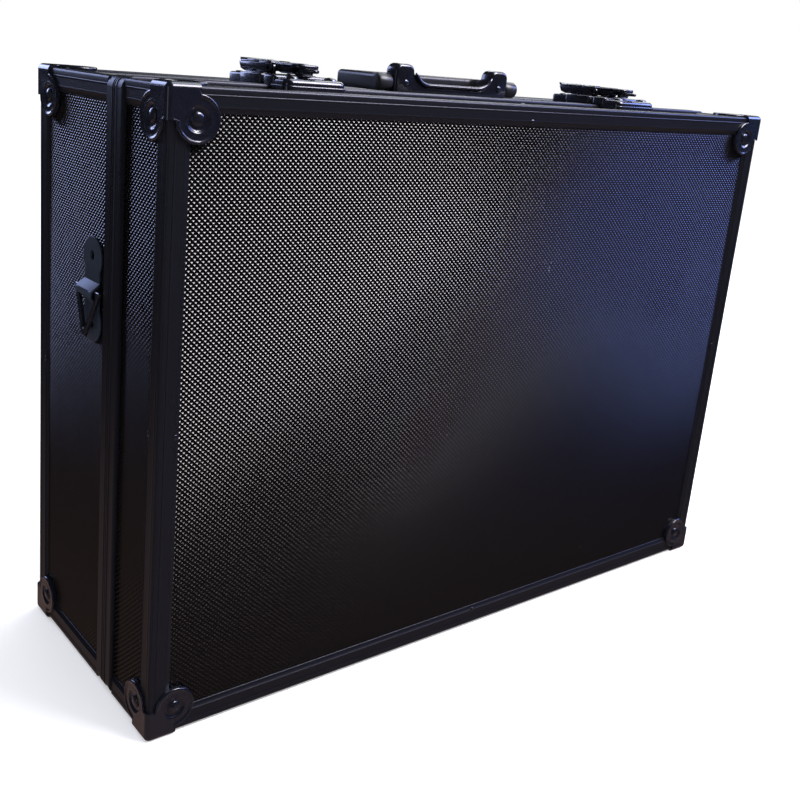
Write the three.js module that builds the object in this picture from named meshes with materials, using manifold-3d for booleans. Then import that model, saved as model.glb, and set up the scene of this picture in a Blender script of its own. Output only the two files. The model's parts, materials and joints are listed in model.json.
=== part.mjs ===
// Aluminium-framed attache case, standing on its hinged side.
// Millimetres. X runs along the case, Y from the lid (front) to the base (back), Z up.
// The origin is on the ground under the middle of the case.
import * as THREE from "three";
import { mergeVertices } from "three/addons/utils/BufferGeometryUtils.js";
import Module from "manifold-3d";

const wasm = await Module();
wasm.setup();

// ---- driving dimensions -------------------------------------------------------------------
const CASE_WIDTH = 457; // over the edge profiles, along X
const CASE_HEIGHT = 328; // over the edge profiles, along Z
const CASE_DEPTH = 152; // over the edge profiles, along Y
const LID_DEPTH = 53.2; // from the front face to the split line
const GAP = 0.3; // clearance left between touching pieces

const LEG = 12; // width of each leg of an edge profile
const WALL = 1.3; // thickness of the profiles' legs
const BOARD = 4; // thickness of the panel boards
const LINING = 2; // thickness of the foam lining
const MITRE_GAP = 0.2; // clearance at each mitre

const RIM_PROUD = 1; // how far the mating frames stand out of the edge profiles
const RIM_RADIUS = 6; // bend radius at the mating frames' corners
const RIM_WEB = 2; // thickness of the web on the mating plane
const RIM_REACH = 6.5; // how far the web reaches inwards
const BASE_RIM = 9.7; // width of the base's mating frame
const LID_RIM = 8.5; // width of the lid's mating frame
const HALF_SEAM = 0.15; // half of the seam between the two mating frames

const CORNER_SHEET = 1.2; // thickness of the stamped corners
const CORNER_NECK = 15.2; // reach of a corner's neck along each edge
const LOBE_RADIUS = 11.3; // each corner's round lobes
const LOBE_CENTRE = 14.4;

const LATCH_X = 129.5; // centre of each latch from the middle of the case
const LATCH_HALF = 19.5; // half width of the latch's plates
const LATCH_HEIGHT = 6.1; // top of the latch's plates over the edge profiles
const LEVER_HALF = 12.5; // half width of the lever
const LEVER_TOP = 13.6; // top of the lever over the edge profiles
const LEVER_BOTTOM = 7.8;
const SHEET = 1.3; // sheet thickness of the latch's lever and hook
const KEY_RADIUS = 5;
const HOOK_HALF = 7.8; // half width of the hook
const PIN_RADIUS = 1.2; // pins of the latch
const PIN_HOLE = 1.5;

const BRACKET_HALF = 46.5; // half length of the handle's bracket
const EAR_HEIGHT = 17; // top of the bracket's ears over the edge profiles
const SADDLE_HEIGHT = 5;
const ARM_WIDTH = 10.4; // width of the bail's arms along X
const BAIL_RADIUS = 5.1; // half thickness of the bail
const BAIL_REACH = 39.5; // from the pivot to the far side of the grip
const GRIP = 12; // width of the grip
const STUD_RADIUS = 3; // pivot studs of the handle

const HINGE_X = 129.5; // centre of each hinge from the middle of the case
const HINGE_LENGTH = 60;
const KNUCKLE_RADIUS = 2.2;
const KNUCKLE_BORE = 1.15;
const HINGE_PIN = 0.85;
const LEAF = 1.2; // thickness of the hinge leaves
const LEAF_REACH = 27; // from the pin to a leaf's far edge

const STRAP_Z = 221; // middle of the strap brackets over the ground
const STRAP_SETBACK = 79; // middle of the strap brackets behind the front face
const POCKET_HALF = 12; // half width of the strap bracket's pocket
const RING_HALF = 15.6; // half width of the strap ring
const RING_DROP = 25; // height of the strap ring under its bar
const RING_BAR = 3.2; // width of the ring's sides
const RING_SHEET = 2.2; // thickness of the ring
const RING_TILT = 4.5; // degrees that the hanging ring leans out

// ---- places worked out from them ----------------------------------------------------------
const GROUND_CLEARANCE = GAP + CORNER_SHEET; // the corners are what the case stands on
const LEFT = -CASE_WIDTH / 2;
const RIGHT = CASE_WIDTH / 2;
const FRONT = -CASE_DEPTH / 2;
const BACK = CASE_DEPTH / 2;
const BOTTOM = GROUND_CLEARANCE;
const TOP = BOTTOM + CASE_HEIGHT;
const SPLIT = FRONT + LID_DEPTH;
const BOARD_DROP = WALL + GAP; // the boards lie this far inside the profiles' faces
const BOARD_BACK = BOARD_DROP + BOARD;
const HINGE_Z = KNUCKLE_RADIUS + 0.1; // just clear of the ground

const AXES = ["x", "y", "z"];
const FACE = {
  x: { "-1": LEFT, 1: RIGHT },
  y: { "-1": FRONT, 1: BACK },
  z: { "-1": BOTTOM, 1: TOP },
};

// ---- finishes -----------------------------------------------------------------------------
function finish(color, roughness, metalness) {
  return new THREE.MeshStandardMaterial({ color, roughness, metalness });
}

const FINISH = {
  profile: () => finish(0x17171b, 0.38, 0.85),
  panel: () => finish(0x0b0b12, 0.25, 0.1),
  stamped: () => finish(0x141418, 0.3, 0.8),
  hardware: () => finish(0x1a1b20, 0.28, 0.9),
  handle: () => finish(0x16171c, 0.35, 0.6),
  hinge: () => finish(0x1b1b1f, 0.4, 0.85),
  key: () => finish(0x3a3b40, 0.3, 0.95),
  lining: () => finish(0x101012, 0.95, 0),
};

// ---- shape helpers ------------------------------------------------------------------------
function solid(geometry) {
  const bare = geometry.clone();
  bare.deleteAttribute("normal");
  bare.deleteAttribute("uv");
  const merged = mergeVertices(bare, 1e-4);
  return new wasm.Manifold(
    new wasm.Mesh({
      numProp: 3,
      vertProperties: new Float32Array(merged.attributes.position.array),
      triVerts: new Uint32Array(merged.index.array),
    }),
  );
}

function join(...solids) {
  return solids.reduce((whole, next) => whole.add(next));
}

// A box between two depths along each axis, given in any order.
function block(x0, x1, y0, y1, z0, z1) {
  const box = new THREE.BoxGeometry(Math.abs(x1 - x0), Math.abs(y1 - y0), Math.abs(z1 - z0));
  return solid(box.translate((x0 + x1) / 2, (y0 + y1) / 2, (z0 + z1) / 2));
}

// Turns a shape drawn in local X, Y and built along local Z so that it is built along an axis.
function turnTo(geometry, axis) {
  if (axis === "x") {
    geometry.applyMatrix4(
      new THREE.Matrix4().makeBasis(
        new THREE.Vector3(0, 1, 0),
        new THREE.Vector3(0, 0, 1),
        new THREE.Vector3(1, 0, 0),
      ),
    );
  }
  if (axis === "y") {
    geometry.applyMatrix4(
      new THREE.Matrix4().makeBasis(
        new THREE.Vector3(1, 0, 0),
        new THREE.Vector3(0, 0, 1),
        new THREE.Vector3(0, -1, 0),
      ),
    );
  }
  return geometry;
}

// An outline extruded along an axis. Its points are given on the other two axes, in x, y, z order.
function prism(axis, from, to, outline) {
  const low = Math.min(from, to);
  const high = Math.max(from, to);
  const shape = new THREE.Shape(outline.map(([u, v]) => new THREE.Vector2(u, v)));
  const geometry = new THREE.ExtrudeGeometry(shape, { depth: high - low, bevelEnabled: false });
  geometry.translate(0, 0, axis === "y" ? -high : low);
  return solid(turnTo(geometry, axis));
}

// A round bar along an axis. Its centre is given on the other two axes, in x, y, z order.
function bar(axis, from, to, centre, radius, sides = 20) {
  return prism(axis, from, to, arc(centre, radius, 0, 360 - 360 / sides, sides - 1));
}

function arc([u, v], radius, start, end, steps) {
  const points = [];
  for (let i = 0; i <= steps; i += 1) {
    const angle = THREE.MathUtils.degToRad(start + ((end - start) * i) / steps);
    points.push([u + radius * Math.cos(angle), v + radius * Math.sin(angle)]);
  }
  return points;
}

function roundedRectangle(u0, u1, v0, v1, radius, steps = 4) {
  return [
    ...arc([u1 - radius, v0 + radius], radius, -90, 0, steps),
    ...arc([u1 - radius, v1 - radius], radius, 0, 90, steps),
    ...arc([u0 + radius, v1 - radius], radius, 90, 180, steps),
    ...arc([u0 + radius, v0 + radius], radius, 180, 270, steps),
  ];
}

function named(name, shape, material) {
  const mesh = shape.getMesh();
  const geometry = new THREE.BufferGeometry();
  geometry.setAttribute("position", new THREE.BufferAttribute(mesh.vertProperties, 3));
  geometry.setIndex(new THREE.BufferAttribute(mesh.triVerts, 1));
  geometry.computeVertexNormals();
  const piece = new THREE.Mesh(geometry, material);
  piece.name = name;
  return piece;
}

// A place given as a face of the case (axis and side) and a depth inwards from it.
function inside(axis, side, depth) {
  return FACE[axis][side] - side * depth;
}

// ---- edge profiles ------------------------------------------------------------------------
// One leg of an angle profile, lying on the face (axis, side), along another axis between two
// faces or places, and reaching inwards from the neighbouring face (across, acrossSide).
function profileLeg(axis, side, across, acrossSide, along, start, end) {
  const others = AXES.filter((each) => each !== axis);
  const startAt = (depth) => start.at + (start.mitred ? Math.max(depth + MITRE_GAP, WALL + 0.4) : 0);
  const endAt = (depth) => end.at - (end.mitred ? Math.max(depth + MITRE_GAP, WALL + 0.4) : 0);
  const depths = [0, WALL + 0.2, LEG];
  const rim = [
    ...depths.map((depth) => [startAt(depth), depth]),
    ...depths.reverse().map((depth) => [endAt(depth), depth]),
  ];
  const outline = rim.map(([place, depth]) => {
    const point = { [along]: place, [across]: inside(across, acrossSide, depth) };
    return others.map((each) => point[each]);
  });
  return prism(axis, inside(axis, side, 0), inside(axis, side, WALL), outline);
}

// An angle profile on the edge where two faces meet.
function angleProfile(along, [axisA, sideA], [axisB, sideB], start, end) {
  return join(
    profileLeg(axisA, sideA, axisB, sideB, along, start, end),
    profileLeg(axisB, sideB, axisA, sideA, along, start, end),
  );
}

function edgeProfiles(half, faceSide, rimEdge) {
  const faceName = half === "lid" ? "front" : "back";
  const face = ["y", faceSide];
  const across = { start: { at: LEFT, mitred: true }, end: { at: RIGHT, mitred: true } };
  const upright = { start: { at: BOTTOM, mitred: true }, end: { at: TOP, mitred: true } };
  const mitred = { at: FACE.y[faceSide], mitred: true };
  const square = { at: rimEdge, mitred: false };
  const [depthStart, depthEnd] = faceSide < 0 ? [mitred, square] : [square, mitred];
  const pieces = [];
  for (const [word, side] of [["bottom", -1], ["top", 1]]) {
    const profile = angleProfile("x", face, ["z", side], across.start, across.end);
    pieces.push(named(`${half}_${faceName}_profile_${word}`, profile, FINISH.profile()));
  }
  for (const [word, side] of [["left", -1], ["right", 1]]) {
    const profile = angleProfile("z", face, ["x", side], upright.start, upright.end);
    pieces.push(named(`${half}_${faceName}_profile_${word}`, profile, FINISH.profile()));
  }
  for (const [high, sideZ] of [["bottom", -1], ["top", 1]]) {
    for (const [word, sideX] of [["left", -1], ["right", 1]]) {
      const profile = angleProfile("y", ["x", sideX], ["z", sideZ], depthStart, depthEnd);
      pieces.push(named(`${half}_edge_profile_${high}_${word}`, profile, FINISH.profile()));
    }
  }
  return pieces;
}

// ---- panel boards and linings -------------------------------------------------------------
function boards(half, faceSide, webFace) {
  const faceName = half === "lid" ? "front" : "back";
  const outer = inside("y", faceSide, BOARD_DROP);
  const inner = inside("y", faceSide, BOARD_BACK);
  const sideStart = inside("y", faceSide, BOARD_BACK + GAP);
  const x = (side, depth) => inside("x", side, depth);
  const z = (side, depth) => inside("z", side, depth);
  const pieces = [
    named(
      `${half}_${faceName}_panel`,
      block(x(-1, BOARD_DROP), x(1, BOARD_DROP), outer, inner, z(-1, BOARD_DROP), z(1, BOARD_DROP)),
      FINISH.panel(),
    ),
  ];
  for (const [word, side] of [["bottom", -1], ["top", 1]]) {
    const board = block(
      x(-1, BOARD_DROP), x(1, BOARD_DROP), sideStart, webFace, z(side, BOARD_DROP), z(side, BOARD_BACK),
    );
    pieces.push(named(`${half}_${word}_panel`, board, FINISH.panel()));
  }
  for (const [word, side] of [["left", -1], ["right", 1]]) {
    const board = block(
      x(side, BOARD_DROP), x(side, BOARD_BACK), sideStart, webFace,
      z(-1, BOARD_BACK + GAP), z(1, BOARD_BACK + GAP),
    );
    pieces.push(named(`${half}_${word}_panel`, board, FINISH.panel()));
  }
  return pieces;
}

// A tray of foam that covers the inside of one half.
function lining(half, faceSide, webFace) {
  const near = BOARD_BACK + GAP;
  const far = near + LINING;
  const tray = (depth, floor, mouth) =>
    block(
      inside("x", -1, depth), inside("x", 1, depth), inside("y", faceSide, floor), mouth,
      inside("z", -1, depth), inside("z", 1, depth),
    );
  const hollow = tray(far, far, webFace + -faceSide * LINING);
  return named(`${half}_lining`, tray(near, near, webFace).subtract(hollow), FINISH.lining());
}

// ---- mating frames ------------------------------------------------------------------------
function loop(from, to, outerDepth, innerDepth, innerRadius) {
  const outline = (depth, bend) =>
    roundedRectangle(
      inside("x", -1, depth), inside("x", 1, depth), inside("z", -1, depth), inside("z", 1, depth), bend,
    );
  const hole = prism("y", Math.min(from, to) - 1, Math.max(from, to) + 1, outline(innerDepth, innerRadius));
  return prism("y", from, to, outline(outerDepth, RIM_RADIUS)).subtract(hole);
}

// towards is the side of the split that the frame lies on: -1 for the lid, 1 for the base.
function matingFrame(name, towards, width) {
  const mouth = SPLIT + towards * HALF_SEAM;
  const flange = loop(mouth, mouth + towards * width, -RIM_PROUD, WALL, 0.5);
  const web = loop(mouth, mouth + towards * RIM_WEB, -RIM_PROUD, RIM_REACH, 2);
  let frame = flange.add(web);
  // The lower edge is chamfered along the seam, so that it clears the other frame as the lid swings.
  const chamfer = HINGE_Z + 0.5 - (BOTTOM - RIM_PROUD);
  const foot = BOTTOM - RIM_PROUD - 1;
  frame = frame.subtract(
    prism("x", LEFT - 5, RIGHT + 5, [
      [SPLIT - towards, foot],
      [SPLIT + towards * (chamfer + 1), foot],
      [SPLIT - towards, HINGE_Z + 0.5 + 1],
    ]),
  );
  for (const side of [-1, 1]) {
    const middle = side * HINGE_X;
    const reach = HINGE_LENGTH / 2 + 0.5;
    const notch = block(
      middle - reach, middle + reach, SPLIT - towards, SPLIT + towards * (width + 1),
      foot, BOTTOM + BOARD_DROP,
    );
    const knuckleRoom = bar("x", middle - reach, middle + reach, [SPLIT, HINGE_Z], KNUCKLE_RADIUS + 0.4);
    frame = frame.subtract(notch).subtract(knuckleRoom);
  }
  return named(name, frame, FINISH.profile());
}

// ---- stamped corners ----------------------------------------------------------------------
function stampedCorner(name, sides) {
  const lobes = AXES.map((axis) => {
    const others = AXES.filter((each) => each !== axis);
    const place = (each, depth) => inside(each, sides[each], depth);
    const [u, v] = others;
    const from = place(axis, -GAP);
    const to = place(axis, -GROUND_CLEARANCE);
    const neck = [
      [place(u, -GROUND_CLEARANCE), place(v, -GROUND_CLEARANCE)],
      [place(u, CORNER_NECK), place(v, -GROUND_CLEARANCE)],
      [place(u, CORNER_NECK), place(v, CORNER_NECK)],
      [place(u, -GROUND_CLEARANCE), place(v, CORNER_NECK)],
    ];
    const lobe = bar(axis, from, to, [place(u, LOBE_CENTRE), place(v, LOBE_CENTRE)], LOBE_RADIUS, 24);
    return prism(axis, from, to, neck).add(lobe);
  });
  return named(name, join(...lobes), FINISH.stamped());
}

function stampedCorners(half, faceSide) {
  const pieces = [];
  for (const [high, z] of [["bottom", -1], ["top", 1]]) {
    for (const [word, x] of [["left", -1], ["right", 1]]) {
      pieces.push(stampedCorner(`${half}_corner_${high}_${word}`, { x, y: faceSide, z }));
    }
  }
  return pieces;
}

// ---- handle -------------------------------------------------------------------------------
const PIVOT_Y = FRONT + 74.5;
const PIVOT_Z = TOP + 5.7;

function handleBracket() {
  const foot = TOP - BOARD_DROP + GAP;
  const sweep = 13; // radius of the hollow between each ear and the saddle
  const earTop = 10; // length of each ear's top
  const crown = 4; // radius of the ears' tops
  const topZ = TOP + EAR_HEIGHT;
  const rightHalf = [
    [BRACKET_HALF, foot],
    ...arc([BRACKET_HALF - crown, topZ - crown], crown, 0, 90, 4),
    ...arc([BRACKET_HALF - earTop, topZ - crown], crown, 90, 150, 3),
    ...arc([BRACKET_HALF - earTop - 15, TOP + SADDLE_HEIGHT + sweep], sweep, -25, -90, 5),
  ];
  const leftHalf = rightHalf.map(([x, z]) => [-x, z]).reverse();
  let bracket = prism("y", FRONT + 68.5, FRONT + 79, [...rightHalf, ...leftHalf]);
  for (const side of [-1, 1]) {
    const studStart = side * (BRACKET_HALF - 1);
    const studEnd = side * (BRACKET_HALF + GAP + ARM_WIDTH - 1);
    bracket = bracket.add(bar("x", studStart, studEnd, [PIVOT_Y, PIVOT_Z], STUD_RADIUS));
  }
  return named("handle_bracket", bracket, FINISH.hardware());
}

function handleBail() {
  const outer = BRACKET_HALF + GAP + ARM_WIDTH;
  const farSide = PIVOT_Y + BAIL_REACH;
  const gripStart = farSide - GRIP;
  const low = PIVOT_Z - BAIL_RADIUS;
  const high = PIVOT_Z + BAIL_RADIUS;
  const armOutline = [
    [farSide - 3, low],
    [farSide, low + 3],
    [farSide, high - 3],
    [farSide - 3, high],
    ...arc([PIVOT_Y, PIVOT_Z], BAIL_RADIUS, 90, 270, 10),
  ];
  const gripOutline = roundedRectangle(gripStart, farSide, low, high, 3.5, 3);
  let bail = prism("x", -outer, outer, gripOutline);
  for (const side of [-1, 1]) {
    const arm = prism("x", side * (outer - ARM_WIDTH), side * outer, armOutline);
    const eye = bar(
      "x", side * (outer - ARM_WIDTH - 1), side * (outer - 0.6), [PIVOT_Y, PIVOT_Z], STUD_RADIUS + 0.2,
    );
    bail = bail.add(arm).subtract(eye);
  }
  return named("handle_bail", bail, FINISH.handle());
}

// ---- latches ------------------------------------------------------------------------------
const LEVER_PIVOT_Y = FRONT + 58.5;
const LEVER_PIVOT_Z = TOP + 9.3;
const HOOK_PIVOT_Y = FRONT + 62.5;
const HOOK_PIVOT_Z = TOP + 9.8;

function latchBase(name, x) {
  const frontEdge = SPLIT + 1.2;
  const rimEnd = SPLIT + HALF_SEAM + BASE_RIM + GAP;
  const rimTop = TOP + RIM_PROUD + GAP;
  const foot = TOP - BOARD_DROP + GAP;
  const plateTop = TOP + LATCH_HEIGHT;
  const tail = FRONT + 75;
  const backEdge = FRONT + 88;
  const left = x - LATCH_HALF;
  const right = x + LATCH_HALF;
  let plate = join(
    block(left, right, frontEdge, tail, rimTop, plateTop),
    block(left, right, rimEnd, tail, foot, plateTop),
    prism("z", foot, plateTop - 1.1, roundedRectangle(left + 3, right - 3, rimEnd, backEdge, 4, 3)),
  );
  const earFrom = 8.5; // the two ears that carry the lever stand this far from the middle
  const earTo = 10.5;
  const earOutline = [
    [LEVER_PIVOT_Y - 2.3, plateTop - 1],
    [LEVER_PIVOT_Y + 2.3, plateTop - 1],
    ...arc([LEVER_PIVOT_Y, LEVER_PIVOT_Z], 2.3, 0, 180, 8),
  ];
  for (const side of [-1, 1]) {
    plate = plate
      .add(prism("x", x + side * earFrom, x + side * earTo, earOutline))
      .add(
        bar("x", x + side * (earFrom + 0.5), x + side * LEVER_HALF, [LEVER_PIVOT_Y, LEVER_PIVOT_Z], PIN_RADIUS),
      );
  }
  return named(name, plate, FINISH.hardware());
}

function latchStrike(name, x) {
  const backEdge = SPLIT - 1.2;
  const frontEdge = FRONT + 29;
  const rimStart = SPLIT - HALF_SEAM - LID_RIM - GAP;
  const rimTop = TOP + RIM_PROUD + GAP;
  const foot = TOP - BOARD_DROP + GAP;
  const top = TOP + LATCH_HEIGHT;
  const nose = 7; // radius of the strike's two front corners
  const outline = [
    [x + LATCH_HALF, backEdge],
    [x - LATCH_HALF, backEdge],
    ...arc([x - LATCH_HALF + nose, frontEdge + nose], nose, 180, 270, 5),
    ...arc([x + LATCH_HALF - nose, frontEdge + nose], nose, 270, 360, 5),
  ];
  const body = prism("z", foot, top, outline);
  const overRim = block(x - 30, x + 30, rimStart, backEdge + 1, foot - 1, rimTop);
  return named(name, body.subtract(overRim), FINISH.hardware());
}

function latchLever(name, x) {
  const frontEdge = FRONT + 56.5;
  const backEdge = FRONT + 88;
  const top = TOP + LEVER_TOP;
  const bottom = TOP + LEVER_BOTTOM;
  const under = top - SHEET;
  const slotEnd = FRONT + 67; // the hook comes up through this slot as the lever stands up
  const side = [
    [frontEdge, under - 0.1],
    [frontEdge - 1, LEVER_PIVOT_Z],
    [frontEdge, bottom],
    [backEdge - 4, bottom],
    [backEdge, under - 2],
    [backEdge, under + 0.5],
    [frontEdge, under + 0.5],
  ];
  const lip = [
    [backEdge - 3, under],
    [backEdge, under - 1],
    [backEdge + 2, top + 1.9],
    [backEdge + 0.6, top + 1.9],
    [backEdge - 2, top],
  ];
  const wall = (from, to) => prism("x", x + from, x + to, side);
  let lever = join(
    block(x - LEVER_HALF, x + LEVER_HALF, frontEdge, backEdge - 1, under, top),
    wall(-LEVER_HALF, -LEVER_HALF + SHEET),
    wall(LEVER_HALF - SHEET, LEVER_HALF),
    prism("x", x - LEVER_HALF + 2, x + LEVER_HALF - 2, lip),
    bar("x", x - LEVER_HALF + 1, x + LEVER_HALF - 1, [HOOK_PIVOT_Y, HOOK_PIVOT_Z], PIN_RADIUS, 16),
  );
  lever = lever
    .subtract(block(x - 8.4, x + 8.4, frontEdge - 2, slotEnd, under - 0.1, top + 1))
    .subtract(bar("x", x - 20, x + 20, [LEVER_PIVOT_Y, LEVER_PIVOT_Z], PIN_HOLE, 16))
    .subtract(bar("z", under - 3, top + 3, [x, FRONT + 76], KEY_RADIUS + GAP, 24));
  return named(name, lever, FINISH.hardware());
}

function latchHook(name, x) {
  const top = TOP + LEVER_TOP - 0.3;
  const under = top - 1.7;
  const tipFront = FRONT + 34;
  const tipFoot = TOP + LATCH_HEIGHT + GAP; // stops just over the strike
  const low = TOP + LEVER_TOP - SHEET - GAP; // top of the part that lies under the lever
  const profile = [
    [tipFront, tipFoot],
    [tipFront + 1.8, tipFoot],
    [tipFront + 1.8, under],
    [FRONT + 53, under],
    [FRONT + 55, low - 1.2],
    [FRONT + 60.5, low - 1.2],
    [HOOK_PIVOT_Y - 1, HOOK_PIVOT_Z - 1],
    [HOOK_PIVOT_Y + 1, HOOK_PIVOT_Z],
    [HOOK_PIVOT_Y + 1, low],
    [FRONT + 56, low],
    [FRONT + 54, top],
    [tipFront + 2, top],
    [tipFront, top - 2],
  ];
  const hook = prism("x", x - HOOK_HALF, x + HOOK_HALF, profile)
    .add(bar("x", x - HOOK_HALF, x + HOOK_HALF, [HOOK_PIVOT_Y, HOOK_PIVOT_Z], 2.3, 16))
    .subtract(bar("x", x - 20, x + 20, [HOOK_PIVOT_Y, HOOK_PIVOT_Z], PIN_HOLE, 16));
  return named(name, hook, FINISH.hardware());
}

function keyPlug(name, x) {
  const top = TOP + LEVER_TOP + 0.6;
  const place = [x, FRONT + 76];
  const slot = block(x - 0.6, x + 0.6, place[1] - 3, place[1] + 3, top - 1.5, top + 1);
  const plug = bar("z", TOP + LEVER_BOTTOM + 0.4, top, place, KEY_RADIUS, 24).subtract(slot);
  return named(name, plug, FINISH.key());
}

// ---- hinges -------------------------------------------------------------------------------
// A leaf with its knuckles. owns lists which of the five stretches of the barrel are its own.
function hingeLeaf(name, middle, towards, owns) {
  const start = middle - HINGE_LENGTH / 2;
  const stretch = HINGE_LENGTH / 5;
  const low = BOTTOM + BOARD_DROP - GAP - LEAF;
  const high = BOTTOM + BOARD_DROP - GAP;
  const near = SPLIT + towards * (KNUCKLE_RADIUS + 0.4);
  let leaf = block(start, start + HINGE_LENGTH, near, SPLIT + towards * LEAF_REACH, low, high);
  for (const index of owns) {
    const from = start + index * stretch + 0.15;
    const to = start + (index + 1) * stretch - 0.15;
    leaf = leaf
      .add(block(from, to, SPLIT + towards * 1.2, near + towards, low, high))
      .add(bar("x", from, to, [SPLIT, HINGE_Z], KNUCKLE_RADIUS));
  }
  leaf = leaf.subtract(bar("x", start - 1, start + HINGE_LENGTH + 1, [SPLIT, HINGE_Z], KNUCKLE_BORE, 16));
  return named(name, leaf, FINISH.hinge());
}

function hingePin(name, middle) {
  const reach = HINGE_LENGTH / 2 - 0.5;
  return named(name, bar("x", middle - reach, middle + reach, [SPLIT, HINGE_Z], HINGE_PIN, 16), FINISH.hinge());
}

// ---- strap brackets -----------------------------------------------------------------------
const STRAP_Y = FRONT + STRAP_SETBACK;
const STRAP_FACE = CASE_WIDTH / 2 - BOARD_DROP + GAP; // underside of the plate
const STRAP_SHEET = 1.2;
const RING_OUT = STRAP_FACE + STRAP_SHEET + 1.75; // the ring's bar from the middle of the case

function strapPlate(name, side) {
  const lobe = 11;
  const lobeRise = 17;
  const waist = 7.5;
  const inner = side * STRAP_FACE;
  const outer = side * (STRAP_FACE + STRAP_SHEET);
  const out = (distance) => side * (STRAP_FACE + STRAP_SHEET + distance);
  let plate = block(inner, outer, STRAP_Y - waist, STRAP_Y + waist, STRAP_Z - lobeRise, STRAP_Z + lobeRise);
  plate = plate.add(
    block(inner, outer, STRAP_Y - POCKET_HALF, STRAP_Y + POCKET_HALF, STRAP_Z + 4.5, STRAP_Z + 8),
  );
  for (const end of [-1, 1]) {
    plate = plate
      .add(bar("x", inner, outer, [STRAP_Y, STRAP_Z + end * lobeRise], lobe, 24))
      .subtract(
        bar("x", side * (STRAP_FACE - 1), outer + side, [STRAP_Y, STRAP_Z + end * (lobeRise + 1)], 2.6, 16),
      );
  }
  // The pocket that the ring's bar lies in: a wide awning over it and a narrow strap under it.
  const awning = [
    [out(-0.3), STRAP_Z + 7.6],
    [out(4.8), STRAP_Z + 2.4],
    [out(4.8), STRAP_Z + 0.7],
    [out(3.6), STRAP_Z + 0.7],
    [out(3.6), STRAP_Z + 1.9],
    [out(-0.3), STRAP_Z + 6],
  ];
  const returnStrap = [
    [out(4.8), STRAP_Z + 0.9],
    [out(4.8), STRAP_Z - 1.9],
    [out(-0.3), STRAP_Z - 7.4],
    [out(-0.3), STRAP_Z - 5.8],
    [out(3.6), STRAP_Z - 1.4],
    [out(3.6), STRAP_Z + 0.9],
  ];
  plate = plate
    .add(prism("y", STRAP_Y - POCKET_HALF, STRAP_Y + POCKET_HALF, awning))
    .add(prism("y", STRAP_Y - 5.5, STRAP_Y + 5.5, returnStrap));
  return named(name, plate, FINISH.hardware());
}

function strapRing(name, side) {
  const half = RING_SHEET / 2;
  const triangle = (halfWidth, top, foot) => [
    [-halfWidth, top],
    [halfWidth, top],
    [1.5, foot],
    [-1.5, foot],
  ];
  // The ring is drawn about its bar, which lies along Y, and hangs down from it.
  const ring = prism("x", -half, half, triangle(RING_HALF, half, -RING_DROP))
    .subtract(prism("x", -half - 1, half + 1, triangle(RING_HALF - RING_BAR - 0.7, -half, -RING_DROP + 4)));
  const piece = named(name, ring, FINISH.hardware());
  piece.position.set(side * RING_OUT, STRAP_Y, STRAP_Z);
  piece.rotation.y = THREE.MathUtils.degToRad(-side * RING_TILT);
  return piece;
}

// ---- the case -----------------------------------------------------------------------------
const attacheCase = new THREE.Group();

for (const [half, faceSide, rimWidth] of [["base", 1, BASE_RIM], ["lid", -1, LID_RIM]]) {
  const rimEdge = SPLIT + faceSide * (HALF_SEAM + rimWidth + GAP);
  const webFace = SPLIT + faceSide * (HALF_SEAM + RIM_WEB + GAP);
  const shell = new THREE.Group();
  shell.add(...boards(half, faceSide, webFace));
  shell.add(...edgeProfiles(half, faceSide, rimEdge));
  shell.add(matingFrame(`${half}_mating_frame`, faceSide, rimWidth));
  shell.add(...stampedCorners(half, faceSide));
  shell.add(lining(half, faceSide, webFace));
  attacheCase.add(shell);
}

const handle = new THREE.Group();
handle.add(handleBracket(), handleBail());
attacheCase.add(handle);

for (const [word, side] of [["left", -1], ["right", 1]]) {
  const latch = new THREE.Group();
  latch.add(
    latchBase(`${word}_latch_base`, side * LATCH_X),
    latchStrike(`${word}_latch_strike`, side * LATCH_X),
    latchLever(`${word}_latch_lever`, side * LATCH_X),
    latchHook(`${word}_latch_hook`, side * LATCH_X),
    keyPlug(`${word}_key_plug`, side * LATCH_X),
  );
  const hinge = new THREE.Group();
  hinge.add(
    hingeLeaf(`${word}_hinge_base_leaf`, side * HINGE_X, 1, [0, 2, 4]),
    hingeLeaf(`${word}_hinge_lid_leaf`, side * HINGE_X, -1, [1, 3]),
    hingePin(`${word}_hinge_pin`, side * HINGE_X),
  );
  const strap = new THREE.Group();
  strap.add(strapPlate(`${word}_strap_plate`, side), strapRing(`${word}_strap_ring`, side));
  attacheCase.add(latch, hinge, strap);
}

export default attacheCase;
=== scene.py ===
"""A black attache case on an aluminium frame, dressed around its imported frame.

Sizes in this file are in millimetres unless a name says otherwise; meshes are made in metres.
X runs along the case, Y from the lid to the base, Z up. "Depth" is measured inwards from a face.
"""
import json
import logging
import math
from dataclasses import dataclass
from enum import Enum
from typing import Iterable, Sequence

import bmesh
import bpy
from mathutils import Matrix, Vector


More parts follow.
